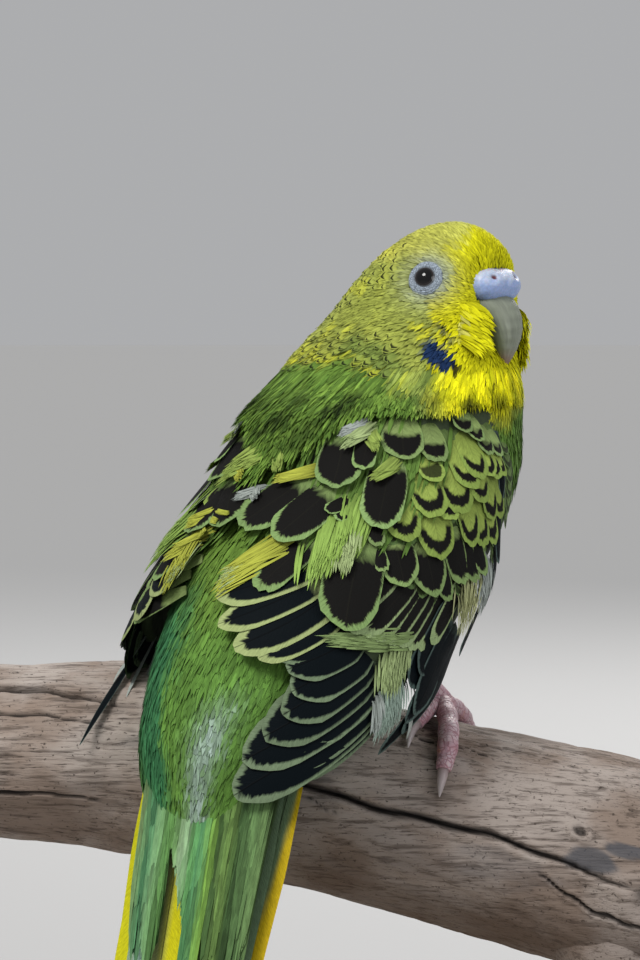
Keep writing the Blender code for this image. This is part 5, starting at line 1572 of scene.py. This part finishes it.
perchShape = {
    # along the branch, height of its middle, radius
    "axis": np.array([
        (-66, -45.4, 14), (-54.2, -45.3, 14.6), (-32.2, -46.6, 15.9), (-3.4, -52, 17), (25.4, -59, 18),
        (54.2, -66.5, 18.6), (70, -70.5, 18.6),
    ]),
    "middle": -4,
    "girth": 17,  # the radius at which distances round the branch are measured
    "long": 400, "around": 240,
    # cracks: from, to, angle at the start, its turn along the way, wander, half width, depth
    "cracks": [(-3, 58, 1.39, 0.19, 0.035, 0.58, 2.4), (-66, -28, 0.56, 0.34, 0.03, 0.85, 2),
        (-66, -28, 0.98, 0.2, 0.03, 0.34, 1), (-62, -30, 1.93, 0.06, 0.02, 0.34, 0.9),
        (22, 50, 0.42, 0.1, 0.03, 0.2, 0.6), (16, 32, 0.6, 0.04, 0.03, 0.2, 0.5),
        (-20, 6, 1.46, 0.1, 0.05, 0.22, 0.6), (40, 66, 1.8, 0.4, 0.04, 0.34, 0.9),
        (-62, 10, 3.4, 0.2, 0.1, 0.6, 1.5), (-20, 62, 4.6, -0.2, 0.12, 0.5, 1.4)],
    # knots: along the branch, angle, size, depth
    "knots": [(57, 1.7, 3.4, 1.5), (42.9, 1.22, 0.8, 0.4), (-40, 4, 4, 1.2)],
    # along the branch, angle, length, width and strength of the weathered patches
    "stains": [(45, 1.44, 4.6, 2, 1), (50.5, 1.3, 3.6, 1.3, 1), (-12, 1.3, 16, 4, 0.35),
        (30, 1.72, 9, 3, 0.3)],
    # the side branch's cut stub: points along its middle, radius at its root and end, rings, points round,
    # and how much painted shade lies evenly over it, as it hangs under the branch
    "stub": [(44, -8, -70), (47.5, -9.5, -75.5), (50.5, -11.2, -81), (52.8, -12.3, -84.5),
        (55, -13, -88)],
    "stubRadii": (9.5, 7.6), "stubRings": 60, "stubAround": 90, "stubShade": 0.7,
    "pale": (0.44, 0.38, 0.34), "warm": (0.285, 0.218, 0.176), "dark": (0.05, 0.034, 0.026),
    # the paints of the painted shade in cracks and knots, of the weathered stains, and of the painted shade
    # underneath and beside the tail
    "hollowShade": (0.006, 0.004, 0.004), "stain": (0.07, 0.073, 0.085), "paintedShade": (0.06, 0.04, 0.03),
}


def perchPoint(x, angle, lift=0.0):
    # a place on the branch: angle 0 is its top, and a quarter turn on faces the bird's back
    row = smoothRows(perchShape["axis"][:, 0], perchShape["axis"][:, 1:], x)
    r = row[..., 1] + lift
    y = perchShape["middle"] - r * np.sin(angle)
    return np.stack([x + 0 * r, y, row[..., 0] + r * np.cos(angle)], -1)


def branchRelief(x, angle):
    # waves that run along the wood, fine grain, and for each crack a bell-shaped groove across its line;
    # returns the lift, the depth in a crack or knot (later painted near black as painted shade), the stain
    # and the painted shade
    girth = perchShape["girth"]
    flat = np.stack([x / 9.0, girth * np.cos(angle) / 3.0, girth * np.sin(angle) / 3.0], -1)
    lift = 0.45 * softNoise(flat, 5.5, 51) + 0.22 * softNoise(flat, 2.2, 52) + 0.1 * softNoise(flat, 0.8, 53)
    dark = np.zeros(x.shape)
    lead = 0.16  # how far before its start a crack begins to open, as a share of its length
    for first, last, start, turn, wander, half, depth in perchShape["cracks"]:
        t = (x - first) / (last - first)
        u = np.clip((t + lead) / (1 + lead), 0, 1)
        line = start + turn * t + wander * np.sin(9 * t) + 0.35 * wander * np.sin(31 * t + start)
        fade = np.clip(np.sin(np.pi * u ** 0.8), 0, 1) ** 0.5 * (1.2 - 0.55 * u)
        off = np.abs(turnedFrom(angle, line)) * girth
        groove = np.exp(-(off / np.maximum(half * fade, 0.02)) ** 4) * (fade > 0)
        lift = lift - depth * fade * groove + 0.25 * fade * np.exp(-((off - 2 * half) / (1.2 * half)) ** 2)
        # the groove is painted near black later: painted shade deep in the crack
        dark = np.maximum(dark, groove * np.minimum(1, fade * 1.5))
    for place, at, size, depth in perchShape["knots"]:
        off = np.hypot((x - place) / 1.6, turnedFrom(angle, at) * girth) / size
        lift = lift - depth * np.exp(-off ** 2 * 3) + 0.7 * np.exp(-((off - 1.3) / 0.5) ** 2)
        # the knot's hollow is painted near black too: painted shade
        dark = np.maximum(dark, 0.8 * ramp(off + 0.2 * softNoise(flat, 2.0, 54), 1.0, 0.5))
    stain = np.zeros(x.shape)
    for place, at, long, wide, strength in perchShape["stains"]:
        off = np.hypot((x - place) / long, turnedFrom(angle, at) * girth / wide)
        stain = np.maximum(stain, strength * ramp(off + 0.35 * softNoise(flat * 2, 2.0, 55), 1.15, 0.75))
    # painted shade: the wood is painted darker underneath, where shade falls, beside the tail, where its
    # shadow falls, and more so towards the thick end
    low = np.abs(turnedFrom(angle))
    paintedShade = 0.34 * ramp(x + 8 * softNoise(flat, 4.0, 57), -22, 6)
    under = ramp(low + 0.25 * softNoise(flat, 3.0, 56), 1.25, 2.3)
    paintedShade = np.maximum(paintedShade, under * mix(0.35, 0.85, ramp(x, -30, 5)))
    beside = np.exp(-((x + 4) / 11) ** 2) * ramp(angle, 0.9, 1.5) * ramp(angle, 3.2, 2.6)
    return lift, dark, stain, np.clip(np.maximum(paintedShade, 0.75 * beside), 0, 1)


def woodMaterial():
    # Streaks stretched along the branch, over broad warm and pale patches and small pits; stained, and
    # darkened with painted shade in cracks and knots, underneath and beside the tail, where the points say
    material, tree, shader = newMaterial("driftwood", 0.78, Specular_IOR_Level=0.3)
    spot, long = placeIn(tree), placeIn(tree, (90.0, 1150.0, 1150.0), (0.0, 0.24, 0.0))
    grain, thin = noiseIn(tree, long, 1.0, 6.0, 0.62), noiseIn(tree, long, 2.9, 6.0, 0.72)
    broad, pores = noiseIn(tree, spot, 70.0, 4.0), noiseIn(tree, spot, 1500.0, 3.0)
    paints = perchShape
    colour = blend(tree, span(tree, broad, 0.38, 0.62), paints["warm"], paints["pale"])
    # each kind of dark mark: where its noise starts and is full, its strength, its share of the dark paint
    darkened = []
    for noise, low, high, strength, share in ((grain, 0.52, 0.34, 0.66, 1.0), (thin, 0.45, 0.36, 0.8, 0.6),
                                              (pores, 0.36, 0.28, 0.75, 0.5)):
        darkened.append(maths(tree, "MULTIPLY", span(tree, noise, low, high), strength))
        colour = blend(tree, darkened[-1], colour, tuple(share * c for c in paints["dark"]))
    marks = addNode(tree, "Attribute", attribute_name="pit").outputs["Color"]
    pit, worn, paintedShade = addNode(tree, "SeparateColor", {0: marks}).outputs
    # painted shade underneath, beside the tail and over the stub
    colour = blend(tree, maths(tree, "MULTIPLY", paintedShade, 0.72), colour, paints["paintedShade"])
    colour = blend(tree, maths(tree, "MULTIPLY", worn, 0.85), colour, paints["stain"])
    # painted shade: cracks and knot hollows painted near black
    colour = blend(tree, pit, colour, paints["hollowShade"])
    height = maths(tree, "MULTIPLY_ADD", thin, 0.6, grain)
    height = maths(tree, "MULTIPLY_ADD", darkened[-1], -0.5, height)
    tree.links.new(colour, shader.inputs["Base Color"])
    addBump(tree, shader, height, 0.6, 0.0004)
    return material


def makePerch():
    # the branch by length and angle, its relief lifting each place, and the stub of a side branch
    look = perchShape
    material = woodMaterial()
    x = np.linspace(look["axis"][0, 0], look["axis"][-1, 0], look["long"])
    x, angle = np.meshgrid(x, fullTurn(look["around"]), indexing="ij")
    lift, dark, stain, paintedShade = branchRelief(x, angle)
    worn = ramp(np.abs(x - x.mean()), 66.5, 68.0)  # the sawn ends' rims are worn down a little
    # the marks: depth in a crack or knot, weathered stain, and painted shade
    marks = np.concatenate([np.stack([dark, stain, paintedShade], -1).reshape(-1, 3), np.zeros((2, 3))])
    rings = perchPoint(x, angle, lift - 0.6 * worn)
    perch = loftMesh("branch", rings, {}, {"pit": marks}, material, "branch")
    count = look["stubRings"]
    t, turn = np.linspace(0, 2, count)[:, None], fullTurn(look["stubAround"])
    bark = np.stack(np.broadcast_arrays(t, 3 * np.cos(turn), 3 * np.sin(turn)), -1)
    radii = np.linspace(*look["stubRadii"], count)[:, None] + 0.35 * softNoise(bark, 2.4, 61)
    radii[-3:] -= np.array([0.1, 0.4, 0.9])[:, None]
    rings = tubeRings(smoothLine(look["stub"], count), radii, len(turn))
    # the stub has no cracks or stains, only painted shade all over
    marks = np.broadcast_to((0.0, 0.0, look["stubShade"]), rings.shape)
    stub = loftMesh("branch_stub", rings, {}, {"pit": marks}, material, "branch")
    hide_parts("perch")
    print("branch made:", len(stub.data.polygons), "faces in the stub")


makePerch()

footShape = {
    # x from the foot's middle and degrees round the branch, along each toe and then its claw
    "toes": {
        "outer_rear": ([(0.6, 4), (1.4, 22), (1.2, 42), (0.4, 56)], [(0.4, 56), (0, 63), (-0.3, 70)]),
        "inner_rear": ([(-0.6, 4), (-2.4, 17), (-4, 30)], [(-4, 30), (-4.9, 38), (-5.4, 46)]),
        "outer_front": ([(0.6, -2), (3.2, -18), (5, -38), (5.6, -56)], [(5.6, -56), (5.6, -66), (5.4, -76)]),
        "inner_front": ([(-0.6, -2), (-1.4, -18), (-2, -34)], [(-2, -34), (-2.2, -44), (-2.4, -53)]),
    },
    "feet": {"right": (20, -4, 1), "left": (-9, 3, -1)},
    "ankles": {"right": (13.4, -12, -29), "left": (-8, -3.4, -24.6)},
    "radius": 1.75, "gap": 0.3, "around": 28, "gripRadius": 19,
    "bow": (0.5, 0.2, 0.4),  # how far the shank's middle stands off a straight line
    # radii from root to tip, the toes' as shares of the radius, and the claws' heights over the branch
    "shankRadii": (1.9, 1.7, 2.4), "toeShares": (1.1, 1, 1.02, 0.74), "nailRadii": (0.95, 0.72, 0.1),
    "nailLifts": (1.6, 1.5, 0.62),
    # scales round each tube, and scales to the millimetre along it
    "scales": {"shank": (9, 1.3), "toe": (9, 1.5), "nail": (4, 0.6)},
    "pink": (0.44, 0.24, 0.28), "deep": (0.3, 0.14, 0.17), "flush": (0.5, 0.22, 0.14),
        "pale": (0.5, 0.37, 0.4),
    "claw": (0.3, 0.22, 0.22), "clawTip": (0.46, 0.42, 0.42),
}


def footMaterial():
    # small scales between darker creases
    material, tree, shader = newMaterial("scalySkin", 0.48, Subsurface_Weight=0.1, Subsurface_Scale=0.001)
    crease = creasesIn(tree, uvIn(tree, "scale"), 0.14)
    broad = noiseIn(tree, placeIn(tree), 260.0, 3.0)
    flesh = blend(tree, span(tree, broad, 0.38, 0.62), footShape["pink"], footShape["pale"])
    flesh = blend(tree, span(tree, broad, 0.4, 0.28), flesh, footShape["flush"])
    tree.links.new(blend(tree, crease, footShape["deep"], flesh), shader.inputs["Base Color"])
    addBump(tree, shader, crease, 0.5, 0.00012)
    return material


def tubeMesh(name, path, radii, around, scale, material, slot, uvName, paints=None):
    # a closed tube; its map counts scales round it and along it, and two paints run from root to tip
    run = np.concatenate([[0], np.cumsum(np.linalg.norm(np.diff(path, axis=0), axis=-1))])[:, None]
    turn = np.linspace(0, 1, around, endpoint=False)
    place = np.stack(np.broadcast_arrays(turn * scale[0], run * scale[1]), -1)
    colours = {"tint": np.repeat(mix(*paints, (run / run[-1])[..., None]), around, 1)} if paints else {}
    return loftMesh(name, tubeRings(path, radii, around), {uvName: place}, colours, material, slot)


def makeFeet():
    # shanks, toes and claws are tubes, the toes' radii swelling and pinched in along the way
    look = footShape
    skin = footMaterial()
    horn = hornMaterial("clawHorn", 0.4)
    around, scales = look["around"], look["scales"]
    for side, (x, y, sign) in look["feet"].items():
        shift = math.degrees(math.asin((perchShape["middle"] - y) / look["gripRadius"]))
        middle = perchPoint(np.array([float(x)]), np.radians([shift]), look["radius"] + 0.5)[0]
        ankle = np.array(look["ankles"][side])
        knee = (ankle + middle) / 2 + look["bow"]
        path, radii = smoothLine([ankle, knee, middle + (0, 0, 0.4)], 40), smoothLine(look["shankRadii"], 40)
        leg = tubeMesh("shank_" + side, path, radii, around, scales["shank"], skin, "foot_skin", "scale")
        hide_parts("leg_" + side)
        for toe, (line, nail) in look["toes"].items():
            rows = smoothLine([(sign * dx, turn + shift) for dx, turn in line], 60)
            t = np.linspace(0, len(line) - 1, 60)
            lump = look["radius"] * smoothLine(look["toeShares"], 60)
            lump = lump + 0.07 * np.sin(t * 9.5) - 0.06 * np.abs(np.sin(t * 26))
            path = perchPoint(rows[:, 0] + x, np.radians(rows[:, 1]), lump + look["gap"])
            name = toe + "_" + side
            tubeMesh("toe_" + name, path, lump, around, scales["toe"], skin, "foot_skin", "scale")
            points = [(sign * dx, turn + shift, lift) for (dx, turn), lift in zip(nail, look["nailLifts"])]
            rows = smoothLine(points, 26)
            path = perchPoint(rows[:, 0] + x, np.radians(rows[:, 1]), rows[:, 2])
            radii = smoothLine(look["nailRadii"], 26)
            claw = tubeMesh("nail_" + name, path, radii, 20, scales["nail"], horn, "claw", "horn",
                            (look["claw"], look["clawTip"]))
            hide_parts("claw_" + name)
    print("feet made")


makeFeet()

standLooks = {"dim": (0.26, 0.19, 0.13), "bright": (0.42, 0.33, 0.24), "steel": (0.56, 0.56, 0.57, 1)}


def finishStand():
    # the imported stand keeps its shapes: the base is satin-lacquered ash, the rods brushed steel
    material, tree, shader = newMaterial("lacqueredAsh", 0.4, Coat_Weight=0.3, Coat_Roughness=0.25)
    grain = noiseIn(tree, placeIn(tree, (18.0, 240.0, 90.0)), 1.0, 6.0, 0.6)
    colour = blend(tree, span(tree, grain, 0.35, 0.65), standLooks["dim"], standLooks["bright"])
    tree.links.new(colour, shader.inputs["Base Color"])
    addBump(tree, shader, grain, 0.2, 0.0002)
    bpy.data.objects["stand_base"].material_slots[0].material = material
    material, tree, shader = newMaterial("brushedSteel", 0.3, Metallic=1.0, Base_Color=standLooks["steel"])
    brush = noiseIn(tree, placeIn(tree, (3000.0, 3000.0, 40.0)), 1.0, 3.0)
    tree.links.new(span(tree, brush, 0.3, 0.7, 0.22, 0.42), shader.inputs["Roughness"])
    for name in ("stand_rod_left", "stand_rod_right"):
        bpy.data.objects[name].material_slots[0].material = material


finishStand()

# the stage

stageLooks = {
    "distance": 0.7,  # from the camera to the bird's middle
    "drop": math.radians(3),
    "pixelsPerMillimetre": 5.9,
    "frameHeight": 960,
    "sensor": 36,
    "floorSize": 16,
    "floor": (0.412, 0.412, 0.412),
    "air": (0.9, 0.91, 0.93),
    "airStrength": 0.46,
    # kind, place in metres from the bird, width of the disk or angle across, strength, colour
    "lamps": {
        "mainLamp": ("SUN", (-0.5, -0.62, 0.85), math.radians(22), 2.4, (1, 0.985, 0.96)),
        "fillLamp": ("AREA", (0.85, -0.75, 0.35), 0.7, 3.6, (0.96, 0.98, 1)),
        "rimLamp": ("AREA", (0.3, 0.95, 0.65), 0.6, 7, (1, 0.98, 0.96)),
    },
}


def makeStage():
    look = stageLooks
    half = look["floorSize"] / 2
    mesh = bpy.data.meshes.new("floor")
    corners = [(-half, -half, 0), (half, -half, 0), (half, half, 0), (-half, half, 0)]
    mesh.from_pydata(corners, [], [(0, 1, 2, 3)])
    mesh.materials.append(newMaterial("studioFloor", 0.75, Base_Color=(*look["floor"], 1))[0])
    floor = putObject(mesh, "floor")
    world = bpy.data.worlds.new("studioAir")
    world.use_nodes = True
    air = world.node_tree.nodes["Background"]
    air.inputs["Color"].default_value = (*look["air"], 1)
    air.inputs["Strength"].default_value = look["airStrength"]
    bpy.context.scene.world = world
    aim = birdOrigin * mm
    for name, (kind, away, size, power, colour) in look["lamps"].items():
        lamp = bpy.data.lights.new(name, kind)
        lamp.energy, lamp.color = power, colour
        if kind == "AREA":
            lamp.shape, lamp.size = "DISK", size
        else:
            lamp.angle = size
        putObject(lamp, name, aim + away, Vector(away).to_track_quat("Z", "Y").to_euler())
    camera = bpy.data.cameras.new("camera")
    camera.sensor_width = look["sensor"]
    camera.lens = look["sensor"] * look["pixelsPerMillimetre"] * look["distance"] / mm / look["frameHeight"]
    camera.clip_start = 0.01
    back = np.array((0, -math.cos(look["drop"]), math.sin(look["drop"])))
    turn = (math.pi / 2 - look["drop"], 0, 0)
    bpy.context.scene.camera = putObject(camera, "camera", aim + back * look["distance"], turn)
    bpy.context.scene.view_settings.view_transform = "Standard"


makeStage()
